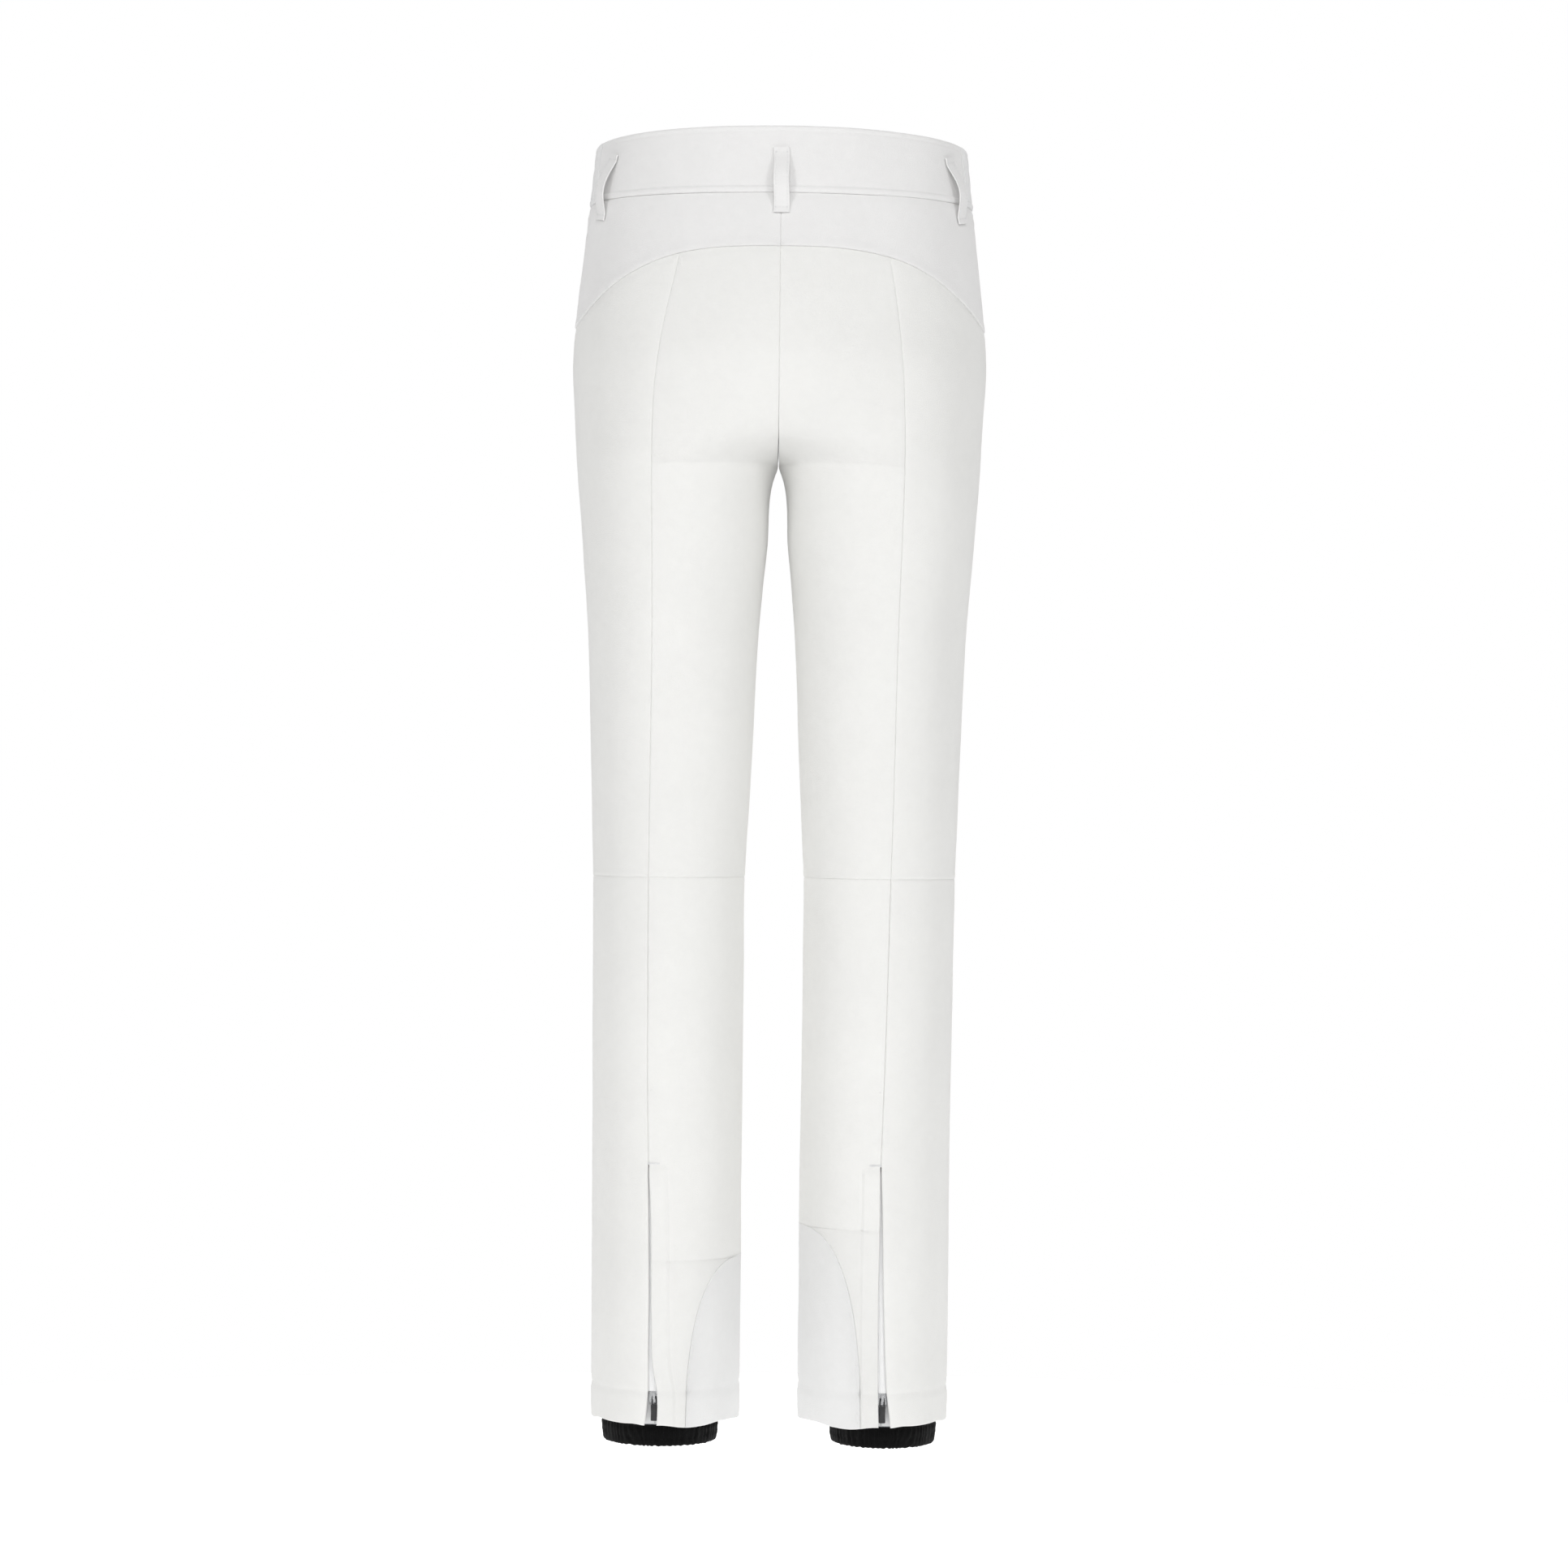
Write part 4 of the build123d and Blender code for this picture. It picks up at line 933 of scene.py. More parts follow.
    # the turned edge behind the slit, ribbed like the zip's cover tape
    zs = np.concatenate([np.arange(-1012.6, -835.0, 2.2), [-835.0]])
    us = np.linspace(0, 1, 34)
    z = zs[None, :] + 0 * us[:, None]
    a = vent_x(z, 1, side) + 3.5
    b = np.minimum(vent_x(z, -1, side), vent_x(z, 1, side) - 1) - 3.5 * ramp(z, -1012, -998)
    x = lerp(a, b, us[:, None])
    phi = phi_x(z, x)
    p = body_point(phi, z)
    p[..., 0] *= side
    ribs = 0.16 * np.cos((x - vent_x(z, 1, side)) * 2 * np.pi / 1.5)
    soft = body_lift(p)
    v, q, u, _ = shell_mesh(p, soft - 1.7 + ribs * 0.8, 0.5, radial(phi, side), None, soft - 1.7)
    cloth(quads_object(f"zip_cover_{side_name}", v, q, u, None, (TAPE_PAINTED_LIGHT,), "pants", None, "zip_tape"), p)


for side_name, side in SIDES:
    lower_panels(side_name, side)


# ---------------------------------------------------------------- waistband
def polar_phi(angle, z):
    """The ellipse angle at which the waistband is cut by a plane at a polar angle in plan."""
    cx, cy, a, b = girth(z)
    t = math.radians(angle)
    phi = np.full(np.shape(z), t)
    for _ in range(12):
        x, y = a * np.cos(phi), cy + b * np.sin(phi)
        err = np.arctan2(y, x) - t
        err = (err + np.pi) % (2 * np.pi) - np.pi
        phi = phi - err
    return phi


def band_grid(us, vs, left, right, off=0.0, low=curve_seam, high=curve_top):
    zb, zt = np.full(us.shape, -48.0), np.full(us.shape, 0.0)
    for _ in range(25):
        zb = lerp(zb, low(body_point(lerp(left(zb), right(zb), us), zb)), 0.7)
        zt = lerp(zt, high(body_point(lerp(left(zt), right(zt), us), zt)), 0.7)
    z = zb[:, None] + (zt - zb)[:, None] * vs[None, :]
    phi = lerp(left(z), right(z), us[:, None])
    return phi, z, body_point(phi, z, off)


rows_of_stitching = np.array([3.6, 4.2, 4.8, 5.4, 43.6, 44.6, 45.6, 46.4])
BAND_VS = np.unique(np.concatenate([spaced(BAND_HEIGHT, 2.2, 0.4), rows_of_stitching / BAND_HEIGHT]))


def band_lift(q, v):
    """Welt over the lower seam, edge stitching under the top edge, and soft waviness."""
    low, high = v * BAND_HEIGHT, (1 - v) * BAND_HEIGHT
    wave = noise(q, (34, 34, 200), 41) * 0.5 + noise(q, (14, 14, 60), 42) * 0.2
    welt = 0.6 * ridge(low, 2.2, 2.4, 4) - 0.5 * ridge(low, 5.0, 0.9)
    edge = -0.3 * ridge(high, 4.3, 0.9) + 0.25 * ridge(high, 2.2, 1.6)
    pucker = noise(q, (7, 7, 30), 43) * (0.18 * ridge(low, 6, 5) + 0.1 * ridge(high, 5, 4))
    return wave + welt + edge + pucker


def band_piece(name, phi, p, vs, specs, node, slot, side=1.0, mats=(BAND, LINING), thick=3.6,
               ride="pants", gather=0.0, lift_scale=1.0):
    q = p.copy()
    q[..., 0] *= side
    soft = band_lift(q, vs[None, :] + 0 * phi) * lift_scale
    if gather:
        fold = gathers(q)[1]
        v = vs[None, :] + 0 * phi
        channel = 0.35 + 0.65 * np.abs(np.sin(v * np.pi * 3)) ** 0.5
        soft = soft + gather * fold * channel * ramp(v, 0.0, 0.08) * ramp(1 - v, 0.0, 0.06)
    edge = seam_lift(q, specs)
    verts, quads, uv, group = shell_mesh(q, soft + edge, thick, radial(phi, side), None, soft * 0.3)
    obj = quads_object(name, verts, quads, uv, np.array([0, 1, 0])[group], mats, ride, node, slot)
    return cloth(obj, p)


def cut_at(angle):
    return lambda z: polar_phi(angle, z)


def front_phi(x):
    return lambda z: -phi_x(z, x)


FREE = {"dip": 0.0, "roll": 1.5, "pucker": 0.05}
JOIN = {"dip": 0.55, "width": 2.6, "pucker": 0.1}
THIN = {"roll": 0.6, "dip": 0.0}
LOW = {"dip": 0.35, "width": 1.6, "roll": 0.7, "pucker": 0.12}
phi, z, p = band_grid(spaced(430, 2.6), BAND_VS, cut_at(10), cut_at(170))
band_piece("band_back", phi, p, BAND_VS, {"left": JOIN, "right": JOIN, "top": FREE, "bottom": LOW},
           "waistband_back", "waistband")
for side_name, side in SIDES:
    phi, z, p = band_grid(spaced(105, 1.1, 0.5), BAND_VS, cut_at(-34), cut_at(10))
    band_piece(f"elastic_{side_name}", phi, p, BAND_VS,
               {"left": JOIN, "right": JOIN, "top": {**FREE, "roll": 1.2}, "bottom": LOW},
               f"waist_elastic_{side_name}", "elastic", side, (ELASTIC, LINING), gather=0.8)
phi, z, p = band_grid(spaced(85, 2.4), BAND_VS, front_phi(45.0), cut_at(-34))
band_piece("band_front_left", phi, p, BAND_VS, {"left": FREE, "right": JOIN, "top": FREE, "bottom": LOW},
           "waistband_front_left", "waistband")
phi, z, p = band_grid(spaced(140, 2.4), BAND_VS, lambda t: -np.pi - polar_phi(-34, t), front_phi(-6.3))
band_piece("band_front_right", phi, p, BAND_VS, {"left": JOIN, "right": FREE, "top": FREE, "bottom": LOW},
           "waistband_front_right", "waistband")
phi, z, p = band_grid(spaced(47, 2.4), BAND_VS, front_phi(-5.5), front_phi(40.0), -2.2, curve_seam,
                      lambda q: curve_top(q) - 0.2)
band_piece("band_underlap", phi, p, BAND_VS, dict.fromkeys(("right", "top", "bottom"), THIN),
           None, "waistband", 1.0, (BAND, LINING), 1.5, lift_scale=0.0)
phi, z, p = band_grid(spaced(51, 2.0), BAND_VS, front_phi(-6.0), front_phi(44.7), 0.1,
                      lambda q: curve_seam(q) + 0.6)
band_piece("tab", phi, p, BAND_VS,
           {"left": {**FREE, "roll": 0.9, "stitch": (3.0,)}, "right": JOIN, "top": FREE,
            "bottom": {**FREE, "roll": 0.9}},
           "waist_tab", "waistband", 1.0, (BAND, LINING), 1.75, "waist_tab", lift_scale=0.6)

# brushed facing inside the waistband, open behind the fastening
vs = spaced(44, 3.0)
phi, z, p = band_grid(spaced(740, 3.6), vs, front_phi(48.5), lambda t: 2 * np.pi - phi_x(t, -14.5), -4.0,
                      curve_seam, lambda q: curve_top(q) - 3.4)
wave = 0.25 * noise(p, 20, 44) - 0.25 * ridge(vs[None, :] * 44, 40, 1.0)
verts, quads, uv, group = shell_mesh(p, 0 * wave - 0.05, 0.95, radial(phi), None, wave * 0.5)
cloth(quads_object("facing", verts, quads, uv, np.zeros(len(quads)), (LINING,), "pants", "waist_facing",
                   "brushed_lining"), p)


# ---------------------------------------------------------------- belt loops
def loop_plane(angle, twist):
    low = body_point(np.array(math.radians(angle - twist)), np.array(-63.0))
    high = body_point(np.array(math.radians(angle + twist)), np.array(-10.0))
    cx, cy, a, b = girth(-48.0)
    out = np.array([(low[0] - cx) / a**2, (low[1] - cy) / b**2, 0.0])
    along = (high - low) / np.linalg.norm(high - low)
    out -= along * out.dot(along)
    out /= np.linalg.norm(out)
    return low, np.cross(along, out), along, out, np.linalg.norm(high - low)


def belt_loop(name, angle, seed):
    """A folded strip, stitched near both edges, turned under at its ends."""
    o, x, y, n, length = loop_plane(angle, {25: 2.5, 155: -2.5}.get(angle, 0))
    s = np.linspace(0, 1, 60)
    h = 0.4 + 6.2 * np.clip(np.sin(np.pi * np.clip((s - 0.1) / 0.8, 0, 1)), 0, 1) ** 1.15
    ring = 40
    a = np.linspace(0, 2 * np.pi, ring, endpoint=False)
    half, thick = 6.5, 1.5
    cw = rounded(np.cos(a), 0.35) * half
    ch = rounded(np.sin(a), 0.5) * thick / 2
    verts = []
    ends = 1 + 0.28 * (np.exp(-(s / 0.05) ** 2) + np.exp(-((1 - s) / 0.05) ** 2))
    for i, t in enumerate(s):
        groove = -0.16 * ridge(np.abs(cw), 4.6, 0.6) * (ch > 0)
        tuck = -0.28 * (ridge(t, 0.075, 0.012) + ridge(t, 0.925, 0.012)) * (ch > 0)
        narrow = 1 - 0.03 * math.sin(math.pi * t)
        fold = 0.18 * ridge(cw, -2.4, 0.7) * (ch > 0)
        side = 0.3 * math.sin(3.1 * t * math.pi + seed)
        verts.append(o + y * t * length + x * (cw[:, None] * narrow + side)
                     + n * (h[i] + thick / 2 + ch * ends[i] + groove + tuck + fold)[:, None])
    verts = np.array(verts).reshape(-1, 3)
    uvx = np.tile(np.concatenate([[0], np.cumsum(np.hypot(np.diff(cw), np.diff(ch)))]), len(s))
    uv = np.stack([uvx, np.repeat(s * length, ring)], -1)
    quads_object(f"loop_{name}", verts, tube_quads(len(s), ring), uv, None, (BAND,), "pants",
                 f"belt_loop_{name}", "waistband", 70)
    lines = []
    out = np.tile(n, (len(s), 1))
    for c in (-4.6, 4.6):
        lines.append((o + y * (s * length)[:, None] + x * c + n * (h + thick)[:, None], out))
    for t in (0.075, 0.925):
        k = np.linspace(-5.6, 5.6, 12)
        hh = np.interp(t, s, h)
        lines.append((o + y * t * length + x * k[:, None] + n * (hh + thick), np.tile(n, (12, 1))))
    return lines


loop_lines = []
for i, (name, angle) in enumerate({"back_center": 90, "back_left": 25, "back_right": 155,
                                   "front_left": -62, "front_right": -118}.items()):
    loop_lines += belt_loop(name, angle, i * 1.7)


# ---------------------------------------------------------------- zips
def ring_tube(points, radius, sides, up=None):
    """Vertices and quads of a tube along points, for coils and links."""
    t = np.gradient(points, axis=0)
    t /= np.linalg.norm(t, axis=1, keepdims=True)
    ref = np.array([0.13, 0.21, 0.97]) if up is None else up
    a = np.cross(t, ref)
    a /= np.maximum(np.linalg.norm(a, axis=1, keepdims=True), 1e-9)
    b = np.cross(t, a)
    k = np.arange(sides) * 2 * np.pi / sides
    v = points[:, None] + radius * (a[:, None] * np.cos(k)[None, :, None]
                                    + b[:, None] * np.sin(k)[None, :, None])
    n = len(points)
    i = np.arange(n - 1)[:, None] * sides
    j = np.arange(sides)[None, :]
    j2 = (j + 1) % sides
    q = np.stack([i + j, i + j2, i + sides + j2, i + sides + j], -1).reshape(-1, 4)
    return v.reshape(-1, 3), q


# A zip is its origin at the lower end on the tape plane, its axes (across, up, outwards), its length and
# the height at which its slider rests.
def standing(low, high, out):
    """Axes of something that stands from low to high and faces out."""
    along = (high - low) / np.linalg.norm(high - low)
    out = out - along * out.dot(along)
    out /= np.linalg.norm(out)
    return np.cross(along, out), along, out


def outward_at(z, p):
    cx, cy, a, b = girth(z)
    return np.array([(p[0] - cx) / a**2, (p[1] - cy) / b**2, 0.0])


def hem_zip():
    t = math.radians(83)
    low = body_point(np.array(t), np.array(HEM_Z))
    high = body_point(np.array(t), np.array(ZIP_TOP))
    x, y, n = standing(low, high, outward_at(HEM_Z, low))
    return low - n * 6.2, x, y, n, 210.0, 24.0


def front_point(z, x):
    cx, cy, a, b = girth(z)
    return np.array([x, cy - b * math.sqrt(1 - ((x - cx) / a) ** 2), z])


def fly_zip():
    low, high = front_point(-182.0, 0.0), front_point(-66.0, 0.0)
    x, y, n = standing(low, high, np.array([0.0, -1.0, 0.0]))
    return low - n * 6.2, x, y, n, 116.0, 116 - 7.0


def pocket_zip():
    low, high = front_point(POCKET[1][1], POCKET[1][0]), front_point(POCKET[0][1], POCKET[0][0])
    mid = (low + high) / 2
    x, y, n = standing(low, high, outward_at(mid[2], mid))
    length = np.linalg.norm(high - low)
    return low - n * 5.0, x, y, n, length, length - 8.0


def mirror_zip(z):
    o, x, y, n, length, rest = z
    m = np.array([-1.0, 1, 1])
    return o * m, x * m, y * m, n * m, length, rest


def coil_mesh(z):
    """Both coils: tight flattened turns that mesh along the middle."""
    o, x, y, n, length, _ = z
    pitch, per = 1.35, 10
    verts, quads, count = [], [], 0
    for side in (-1, 1):
        turns = int((length - 9) / pitch)
        t = np.arange(turns * per + 1) / per
        a = t * 2 * np.pi
        centre = side * 1.5
        px = centre + rounded(np.cos(a), 0.7) * 1.32
        pz = 0.92 + np.sin(a) * 0.62
        py = 4.3 + (t + (0.5 if side > 0 else 0)) * pitch
        pts = o + x * px[:, None] + y * py[:, None] + n * pz[:, None]
        v, q = ring_tube(pts, 0.3, 5, y)
        quads.append(q + count)
        verts.append(v)
        count += len(v)
    return np.concatenate(verts), np.concatenate(quads)


def strip(z, xs, y0, y1, base, thick, wave, seed):
    """A flat cloth strip in a zip's frame, a little uneven."""
    o, x, y, n = z[:4]
    gx = np.linspace(xs[0], xs[1], max(4, int((xs[1] - xs[0]) / 2.2)))
    gy = np.linspace(y0, y1, int((y1 - y0) / 3.0))
    p = o + x * gx[:, None, None] + y * gy[None, :, None] + n * base
    lift = wave * (noise(p, 13, seed) - 1.0) * 0.5
    return *shell_mesh(p, lift, thick, np.broadcast_to(n, p.shape), None), p


def puller(name, z, body, node):
    """A metal link on the slider's bridge and a ribbed rubber grip below it."""
    o, x, y, n, _, rest = z
    pin_height = 1.9 + 0.3 + 0.9 + 0.7 + 0.25
    c = o + y * rest + n * pin_height
    # link: a wire loop from the pin down to the grip's eye
    k = np.linspace(0, 2 * np.pi, 40, endpoint=True)
    lx = rounded(np.cos(k), 0.5) * 1.7
    ly = -3.7 + rounded(np.sin(k), 0.6) * 3.8
    pts = c + x * lx[:, None] + y * ly[:, None]
    v, q = ring_tube(pts, 0.45, 8, n)
    pin = np.linspace(-1.7, 1.7, 8)
    v2, q2 = ring_tube(c + x * pin[:, None], 0.46, 8, n)
    quads_object(f"{name}_link", np.concatenate([v, v2]), np.concatenate([q, q2 + len(v)]),
                 np.zeros((len(v) + len(v2), 2)), None, (LINK,), body, None, "slider_metal", 60)
    # grip: rounded slab, waisted, with ribs on its face and an eye at the top
    s = np.linspace(0, 1, 64)
    top, low = -6.3, -19.6
    yy = lerp(top, low, s)
    round_end = np.sqrt(np.clip(1 - np.clip((s - 0.95) / 0.05, 0, 1) ** 2, 0, 1)) * 0.25 + 0.75
    head = np.sqrt(np.clip(1 - np.clip((0.05 - s) / 0.05, 0, 1) ** 2, 0, 1)) * 0.25 + 0.75
    half = (2.55 + 0.1 * np.cos(2 * np.pi * s)) * round_end * head
    ribs = 0.10 * np.sin(s * 60) * ramp(s, 0.2, 0.28) * (1 - ramp(s, 0.84, 0.9))
    thick = (0.72 + 0.12 * np.sin(np.pi * s)) * (round_end * 0.4 + 0.6)
    ring = 20
    a = np.linspace(0, 2 * np.pi, ring, endpoint=False)
    cw = rounded(np.cos(a), 0.4)
    ch = rounded(np.sin(a), 0.5)
    verts = (c + y * yy[:, None, None] + x * (half[:, None] * cw)[..., None]
             + n * ((thick + ribs)[:, None] * ch)[..., None]).reshape(-1, 3)
    quads_object(f"{name}_grip", verts, tube_quads(len(s), ring), np.zeros((len(verts), 2)), None,
                 (RUBBER,), body, node, "puller_grip", 60)


def dress_cad(node, material, bevel):
    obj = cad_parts[node]
    obj.data.materials.clear()
    obj.data.materials.append(material)
    if bevel:
        b = obj.modifiers.new("edges", "BEVEL")
        b.width = bevel * MM
        b.segments = 2
        b.limit_method = "ANGLE"
        b.angle_limit = math.radians(40)
    return obj


def add_zip(kind, z, suffix, tape_node, coil_node):
    dress_cad(f"{kind}_slider{suffix}", ENAMEL, 0.22)
    puller(f"{kind}_pull{suffix}", z, f"{kind}_puller{suffix}", f"{kind}_puller{suffix}")
    v, q = coil_mesh(z)
    quads_object(f"{kind}_coil{suffix}", v, q, np.zeros((len(v), 2)), None, (COIL,), "pants",
                 coil_node, "zip_coil", 60)
    length = z[4]
    halves = [strip(z, edges, 2.0, length - 2.0, 0.0, 0.6, 0.12, 51)
              for edges in ((0.4, 15.9), (-15.9, -0.4))]
    cloth(quads_object(f"{kind}_tape{suffix}", *joined(halves), None, (TAPE_PAINTED_LIGHT,), "pants", tape_node,
                       "zip_tape"), halves[-1][-1], copies=2)


for side_name, side in SIDES:
    z = hem_zip() if side > 0 else mirror_zip(hem_zip())
    add_zip("hem", z, f"_{side_name}", f"hem_zip_tapes_{side_name}", f"hem_zip_coils_{side_name}")
    v, q, u, _, p = strip(z, (-17, 17), 1.0, 209.0, -3.2, 0.8, 0.5, 52)
    cloth(quads_object(f"gusset_{side_name}", v, q, u, None, (MESH,), "pants",
                       f"hem_gusset_{side_name}", "mesh_lining"), p)
    z = pocket_zip() if side > 0 else mirror_zip(pocket_zip())
    add_zip("pocket", z, f"_{side_name}", "pocket_zip_tapes", "pocket_zip_coils")
add_zip("fly", fly_zip(), "", "fly_zip_tapes", "fly_zip_coils")
v, q, u, _, p = strip(fly_zip(), (-17, 17), 1.0, 115.0, -3.2, 0.8, 0.3, 53)
cloth(quads_object("fly_backing", v, q, u, None, (LINING,), "pants", "fly_shield", "mesh_lining"), p)
dress_cad("snap_studs", STEEL, 0.25)


def snap_caps():
    """Pressed metal caps: a rolled rim, a shallow trough and a soft dome."""
    profile = np.array([(0.0, 1.25), (1.2, 1.24), (2.4, 1.16), (3.4, 1.0), (4.0, 0.86), (4.3, 0.82),
                        (4.6, 0.9), (4.9, 1.12), (5.3, 1.3), (5.7, 1.25), (5.98, 0.95), (6.05, 0.5),
                        (6.0, 0.02), (5.4, 0.0)])
    verts, quads, n = [], [], 48
    for drop in (27.0, 47.0):
        def face(z):
            _, _, cy, a, b = between(WAIST, BAND_SEAM, z / BAND_SEAM[0])
            return np.array([9.0, cy - b * math.sqrt(1 - (9.0 / a) ** 2), z])
        low, high = face(-drop - 10.0), face(-drop + 10.0)
        x, y, out = standing(low, high, np.array([0.055, -1.0, 0.0]))
        middle = (low + high) / 2
        base = len(verts)
        for r, h in profile:
            for k in range(n):
                t = 2 * math.pi * k / n
                verts.append(middle + x * r * math.cos(t) + y * r * math.sin(t) + out * (h + 0.12))
        for i in range(len(profile) - 1):
            for k in range(n):
                k2 = (k + 1) % n
                low, high = base + i * n, base + (i + 1) * n
                quads.append((low + k, low + k2, high + k2, high + k))
    quads_object("snap_caps_turned", np.array(verts), np.array(quads), np.zeros((len(verts), 2)), None,
                 (STEEL,), "waist_tab", "snap_caps", "snap_metal", 60)


snap_caps()


# ---------------------------------------------------------------- hem facings, pocket bags, hanger loops
def hem_facing():
    """The turned allowance inside both hems, with its row of stitching."""
    parts = []
    for _, side in SIDES:
        us = spaced(420, 3.0)
        vs = spaced(28, 2.4)
        z = HEM_Z + HEM_BAND * vs[None, :] + 0 * us[:, None]
        start = phi_x(z, 92.4 - 18.8)
        end = phi_x(z, 92.4 + 18.8) + 2 * np.pi
        phi = lerp(start, end, us[:, None])
        p = hem_wave(body_point(phi, z, -SHELL - 0.05))
        p[..., 0] *= side
        soft = drape(p)
        parts.append(shell_mesh(p, soft - 0.05, 1.25, radial(phi, side), None, soft))
    cloth(quads_object("hem_facing_cloth", *joined(parts), None, (CLOTH,), "pants", "hem_facings",
                       "guard_cloth"), p, copies=2)


def pocket_bags():
    """Two flat bags behind the pocket zips, plump in the middle and sewn round the edge."""
    parts = []
    for _, side in SIDES:
        us, vs = spaced(98, 3.0, 0.6), spaced(194, 3.2, 0.6)
        x = 52 + 98 * us[:, None] + 0 * vs[None, :]
        zc = -68 - 194 * (1 - vs[None, :]) + 0 * us[:, None]
        # round the corners by squeezing the grid towards them
        fx, fz = (x - 101) / 49, (zc + 165) / 97
        k = 0.10
        x2 = 101 + 49 * fx * (1 - k * fz ** 8)
        z2 = -165 + 97 * fz * (1 - k * 0.5 * fx ** 8)
        phi = -phi_x(z2, x2)
        p = body_point(phi, z2, -10.3)
        p[..., 0] *= side
        pad = (1 - np.abs(fx) ** 6) * (1 - np.abs(fz) ** 6)
        crumple = 0.45 * noise(p, 22, 61) + 0.15 * noise(p, 8, 62)
        seam = -0.2 * np.exp(-((1 - np.maximum(np.abs(fx) * 1.0, np.abs(fz))) * 60 / 3) ** 2)
        parts.append(shell_mesh(p, 0.15 * crumple + seam, 0.9, radial(phi, side), None,
                                crumple * 0.8 - 0.6 * pad))
    cloth(quads_object("pocket_bag_cloth", *joined(parts), None, (MESH,), "pants", "pocket_bags",
                       "mesh_lining"), p, copies=2)


def hanger_loops():
    """A loop of narrow tape inside the waistband at each side."""
    parts = []
    for _, side in SIDES:
        lo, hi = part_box("hanger_loops")
        x0 = hi.x / MM - 0.5
        half, top = 8.5, lo.z / MM + 70
        t = np.linspace(0, 1, 90)
        straight = 48.0
        arc = np.pi * half
        total = 2 * straight + arc
        s = t * total
        y = np.where(s < straight, -half, np.where(s > straight + arc, half,
                     -half * np.cos(np.clip((s - straight) / half, 0, np.pi))))
        zc = np.where(s < straight, top - 6 - s, np.where(s > straight + arc, top - 6 - (total - s),
                      top - 6 - straight - half * np.sin(np.clip((s - straight) / half, 0, np.pi))))
        line = np.stack([np.full(90, x0) - 0.3 * np.sin(t * 7), SEAM_Y + y, zc], -1)
        tan = np.gradient(line, axis=0)
        tan /= np.linalg.norm(tan, axis=1, keepdims=True)
        nrm = np.array([1.0, 0, 0])
        w = np.cross(nrm, tan)
        grid = np.stack([line + w * k for k in np.linspace(-2.5, 2.5, 7)], 0)
        grid[..., 0] *= side
        outward = np.zeros(grid.shape)
        outward[..., 0] = side
        parts.append(shell_mesh(grid, 0.45, 0.9, outward))
    # a tape 5 mm wide is under a sheet's smallest size
    quads_object("hanger_tapes", *joined(parts), None, (WEBBING,), "pants", "hanger_loops", "hanger_tape")


hem_facing()
pocket_bags()
hanger_loops()


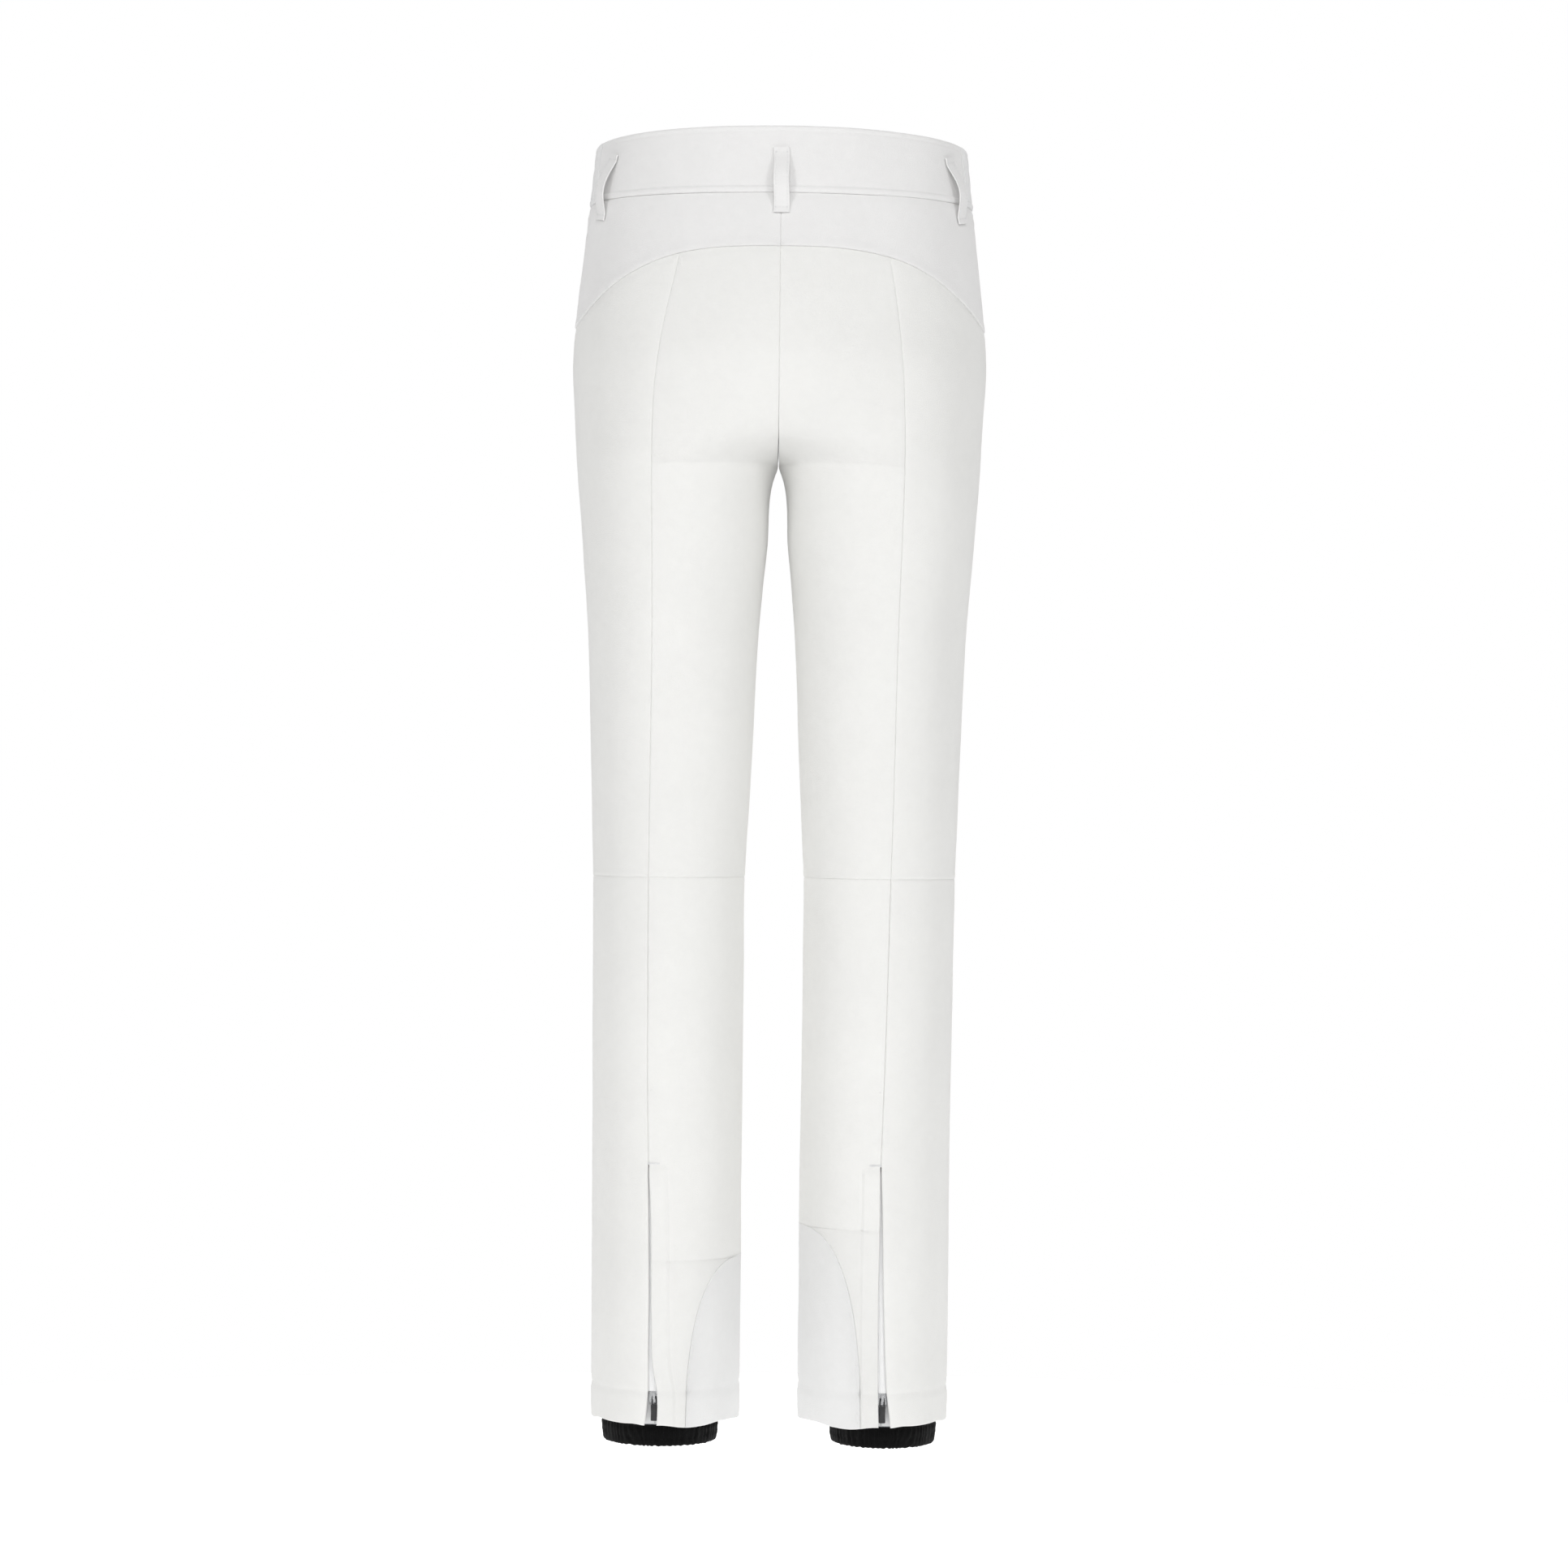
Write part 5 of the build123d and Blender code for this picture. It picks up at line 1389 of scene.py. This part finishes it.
# ---------------------------------------------------------------- gaiters
def gaiter(side_name, side):
    """Black snow gaiter: a gathered cuff that slides, and a sleeve above it."""
    phi1 = np.linspace(0, 1, 560) * 2 * np.pi
    # cuff: gathered elastic with fine upright pleats
    vs = np.unique(np.concatenate([spaced(40, 1.6, 0.35), [0.03, 0.05]]))
    z = -1061.0 + 40.0 * vs[None, :] + 0 * phi1[:, None]
    phi = phi1[:, None] + 0 * z
    mid, half = (89.2, 48.3) if side > 0 else (94.3, 44.4)
    p = np.stack([mid + half * np.cos(phi), 3.0 + 57.0 * np.sin(phi), z], -1)
    wrap = np.stack([np.cos(phi) * 60, np.sin(phi) * 60, z], -1)
    bend = 0.9 * noise(wrap, (16, 16, 26), 71)
    uneven = 0.75 + 0.6 * noise(wrap, (9, 9, 30), 72)
    fold = uneven * (np.sin(phi * 58 + bend * 6.5) + 0.5 * np.sin(phi * 33 + 1.3 + bend * 4))
    low = (vs * 40)[None, :] + 0 * phi
    lift = -0.75 + 0.62 * fold * (0.65 + 0.35 * np.cos(low * 0.9 + bend)) * ramp(low, 0, 4)
    lift -= 0.35 * (ridge(low, 6.5, 0.8) + ridge(low, 16, 0.8) + ridge(low, 26, 0.8))
    r = 1.6
    t = np.clip(r - low, 0, r)
    lift -= r - np.sqrt(np.maximum(r * r - t * t, 0)) + 0.9 * (1 - ramp(low, 0, 12))
    p[..., 2] += 0.35 * fold * (1 - ramp(low, 0, 5))
    p[..., 0] *= side
    node = f"gaiter_cuff_{side_name}"
    cloth(quads_object(f"cuff_{side_name}", *closed_shell(p, lift, 1.3, radial(phi, side)), None,
                       (GAITER_EL,), node, node, "gaiter_elastic", 70), p * 1.18)
    # sleeve: thin cloth that loosens from the cuff up to where it is sewn to the leg
    phi1 = np.linspace(0, 1, 420) * 2 * np.pi
    zs = np.concatenate([np.linspace(-1021.5, -824, 70)[:-1], np.linspace(-824, -790, 14)])
    z = zs[None, :] + 0 * phi1[:, None]
    phi = phi1[:, None] + 0 * z
    t = np.clip((z + 1021) / (1021 - 824), 0, 1)
    t2 = np.clip((z + 824) / 34, 0, 1)
    mid_x, mid_y = 88.4, 0.85
    cx = lerp(lerp(mid, mid_x, t), 85.77, t2)
    cy = lerp(lerp(3.0, mid_y, t), -2.8 + 1.5, t2)
    a = lerp(lerp(half, 54.0, t), 59.3, t2)
    b = lerp(lerp(57.0, 61.5, t), 75.0, t2)
    p = np.stack([cx + a * np.cos(phi), cy + b * np.sin(phi), z], -1)
    wrap = np.stack([np.cos(phi) * 60, np.sin(phi) * 60, z], -1)
    bend = noise(wrap, (22, 22, 60), 73)
    pleat = np.sin(phi * 31 + bend * 3) * (1 - t) ** 2 * 0.7 + noise(wrap, (10, 10, 120), 74) * 1.1 * (1 - t)
    bag = noise(wrap, (26, 26, 34), 75) * 1.3 * np.sin(np.pi * np.clip(t, 0, 1)) * (1 - t2)
    lift = -0.9 + pleat + bag
    p[..., 0] *= side
    sleeve = quads_object(f"sleeve_{side_name}", *closed_shell(p, lift, 0.5, radial(phi, side)), None,
                          (GAITER,), "pants", f"gaiter_sleeve_{side_name}", "gaiter_cloth", 70)
    cloth(sleeve, p * 1.1)
    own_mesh(sleeve)


def closed_shell(p, lift, thick, outward):
    """A shell whose grid closes on itself in the first direction."""
    nu = p.shape[0] - 1
    nv = p.shape[1]
    q = p[:-1]
    du = np.roll(q, -1, 0) - np.roll(q, 1, 0)
    dv = np.gradient(q, axis=1)
    n = np.cross(du, dv)
    n /= np.linalg.norm(n, axis=-1, keepdims=True)
    sign = np.sign(np.sum(n * outward[:-1], -1).sum())
    n *= sign
    l = lift[:-1]
    verts = np.concatenate([(q + n * l[..., None]).reshape(-1, 3),
                            (q + n * (l - thick)[..., None]).reshape(-1, 3)])
    idx = np.arange(nu * nv).reshape(nu, nv)
    nxt = np.roll(idx, -1, 0)
    f = np.stack([idx[:, :-1], nxt[:, :-1], nxt[:, 1:], idx[:, 1:]], -1).reshape(-1, 4)
    m = nu * nv
    low = np.stack([idx[:, 0], idx[:, 0] + m, nxt[:, 0] + m, nxt[:, 0]], -1)
    high = np.stack([idx[:, -1], nxt[:, -1], nxt[:, -1] + m, idx[:, -1] + m], -1)
    faces = [f, f[:, ::-1] + m, low, high]
    if sign < 0:
        faces = [x[:, ::-1] for x in faces]
    quads = np.concatenate(faces)
    u = np.concatenate([[0], np.cumsum(np.linalg.norm(np.diff(q, axis=0), axis=-1).mean(1))])
    v = np.concatenate([[0], np.cumsum(np.linalg.norm(np.diff(q, axis=1), axis=-1).mean(0))])
    uv = np.stack(np.meshgrid(u, v, indexing="ij"), -1).reshape(-1, 2)
    return verts, quads, np.concatenate([uv, uv])


for side_name, side in SIDES:
    gaiter(side_name, side)


# ---------------------------------------------------------------- stitching
def z_line(z0, z1, step=1.5):
    return np.arange(z0, z1, step)


lines = list(loop_lines)
tacks = []
for side_name, side in SIDES:
    # narrow box above the hem zip, and the tack that closes it
    z = z_line(ZIP_TOP, -771)
    shift = lambda t, d: phi_x(t, princess_x(t, side) - d)
    lines.append(body_line(shift(z, 5.6), z, side, -0.5))
    x = np.linspace(0.8, 5.6, 6)
    lines.append(body_line(shift(np.full(6, -770.5), x), np.full(6, -770.5), side, -0.28))
    x = np.linspace(-0.5, 9.5, 12)
    tacks.append(body_line(shift(np.full(12, -829.6), x), np.full(12, -829.6), side, 0.0))
    # where the gaiter is caught to the outer leg
    phi = phi_side(np.array(-779.0)) + np.linspace(0.38, 0.72, 14)
    lines.append(body_line(phi, np.full(14, -779.0), side, -0.05))
stitch_piece("stitching", lines, THREAD_PAINTED_SHADE, None, 2.6, 1.9, 0.4, height=0.24)
stitch_piece("bar_tacks", tacks, THREAD_PAINTED_SHADE, None, 0.7, 0.62, 2.2, height=0.4)


# ---------------------------------------------------------------- camera, light, floor
def make_camera():
    data = bpy.data.cameras.new("camera")
    data.sensor_width = 36.0
    data.lens = 111.3
    data.clip_end = 100
    cam = bpy.data.objects.new("camera", data)
    bpy.context.scene.collection.objects.link(cam)
    roll = math.radians(0.62)
    x, y = Vector((-1, 0, 0)), Vector((0, 0, 1))
    right = x * math.cos(roll) + y * math.sin(roll)
    up = -x * math.sin(roll) + y * math.cos(roll)
    m = Matrix.Identity(4)
    for i, v in enumerate((right, up, Vector((0, 1, 0)))):
        for j in range(3):
            m[j][i] = v[j]
    m.translation = Vector((-0.0074, 4.0, -0.5213))
    cam.matrix_world = m
    bpy.context.scene.camera = cam


def area_light(name, place, aim, size, power):
    data = bpy.data.lights.new(name, "AREA")
    data.shape = "RECTANGLE"
    data.size, data.size_y = size
    data.energy = power
    obj = bpy.data.objects.new(name, data)
    bpy.context.scene.collection.objects.link(obj)
    obj.location = place
    obj.rotation_mode = "QUATERNION"
    obj.rotation_quaternion = (Vector(place) - Vector(aim)).to_track_quat("Z", "Y")
    obj.visible_camera = False


def make_stage():
    world = bpy.data.worlds.new("studio")
    world.use_nodes = True
    nodes, links = world.node_tree.nodes, world.node_tree.links
    bg = nodes["Background"]
    bg.inputs["Color"].default_value = (1, 1, 1, 1)
    bg.inputs["Strength"].default_value = 0.385
    seen = nodes.new("ShaderNodeBackground")
    seen.inputs["Color"].default_value = (1, 1, 1, 1)
    seen.inputs["Strength"].default_value = 1.0
    path = nodes.new("ShaderNodeLightPath")
    mix = nodes.new("ShaderNodeMixShader")
    links.new(path.outputs["Is Camera Ray"], mix.inputs[0])
    links.new(bg.outputs[0], mix.inputs[1])
    links.new(seen.outputs[0], mix.inputs[2])
    links.new(mix.outputs[0], nodes["World Output"].inputs["Surface"])
    bpy.context.scene.world = world
    for name, way in (("back", 1.0), ("front", -1.0)):
        area_light(f"{name}_top", (0.0, 3.5 * way, 1.6), (0, 0, -0.1), (1.4, 1.0), 40)
        for edge in (-1.0, 1.0):
            area_light(f"{name}_box_{edge:.0f}", (2.4 * edge, 3.1 * way, 1.45), (0, 0, -0.1), (0.9, 1.8), 34)
    me = bpy.data.meshes.new("floor")
    rim = [(2.4 * math.cos(k * math.pi / 48), 2.4 * math.sin(k * math.pi / 48), -1.30) for k in range(96)]
    me.from_pydata(rim, [], [tuple(range(96))])
    floor = bpy.data.objects.new("floor", me)
    bpy.context.scene.collection.objects.link(floor)
    mat = bpy.data.materials.new("floor")
    mat.use_nodes = True
    b = mat.node_tree.nodes["Principled BSDF"]
    b.inputs["Base Color"].default_value = (0.93, 0.93, 0.93, 1)
    b.inputs["Roughness"].default_value = 0.9
    b.inputs["Specular IOR Level"].default_value = 0.1
    b.inputs["Emission Color"].default_value = (1, 1, 1, 1)
    b.inputs["Emission Strength"].default_value = 0.5
    me.materials.append(mat)
    bpy.context.scene.view_settings.view_transform = "Standard"


make_camera()
make_stage()
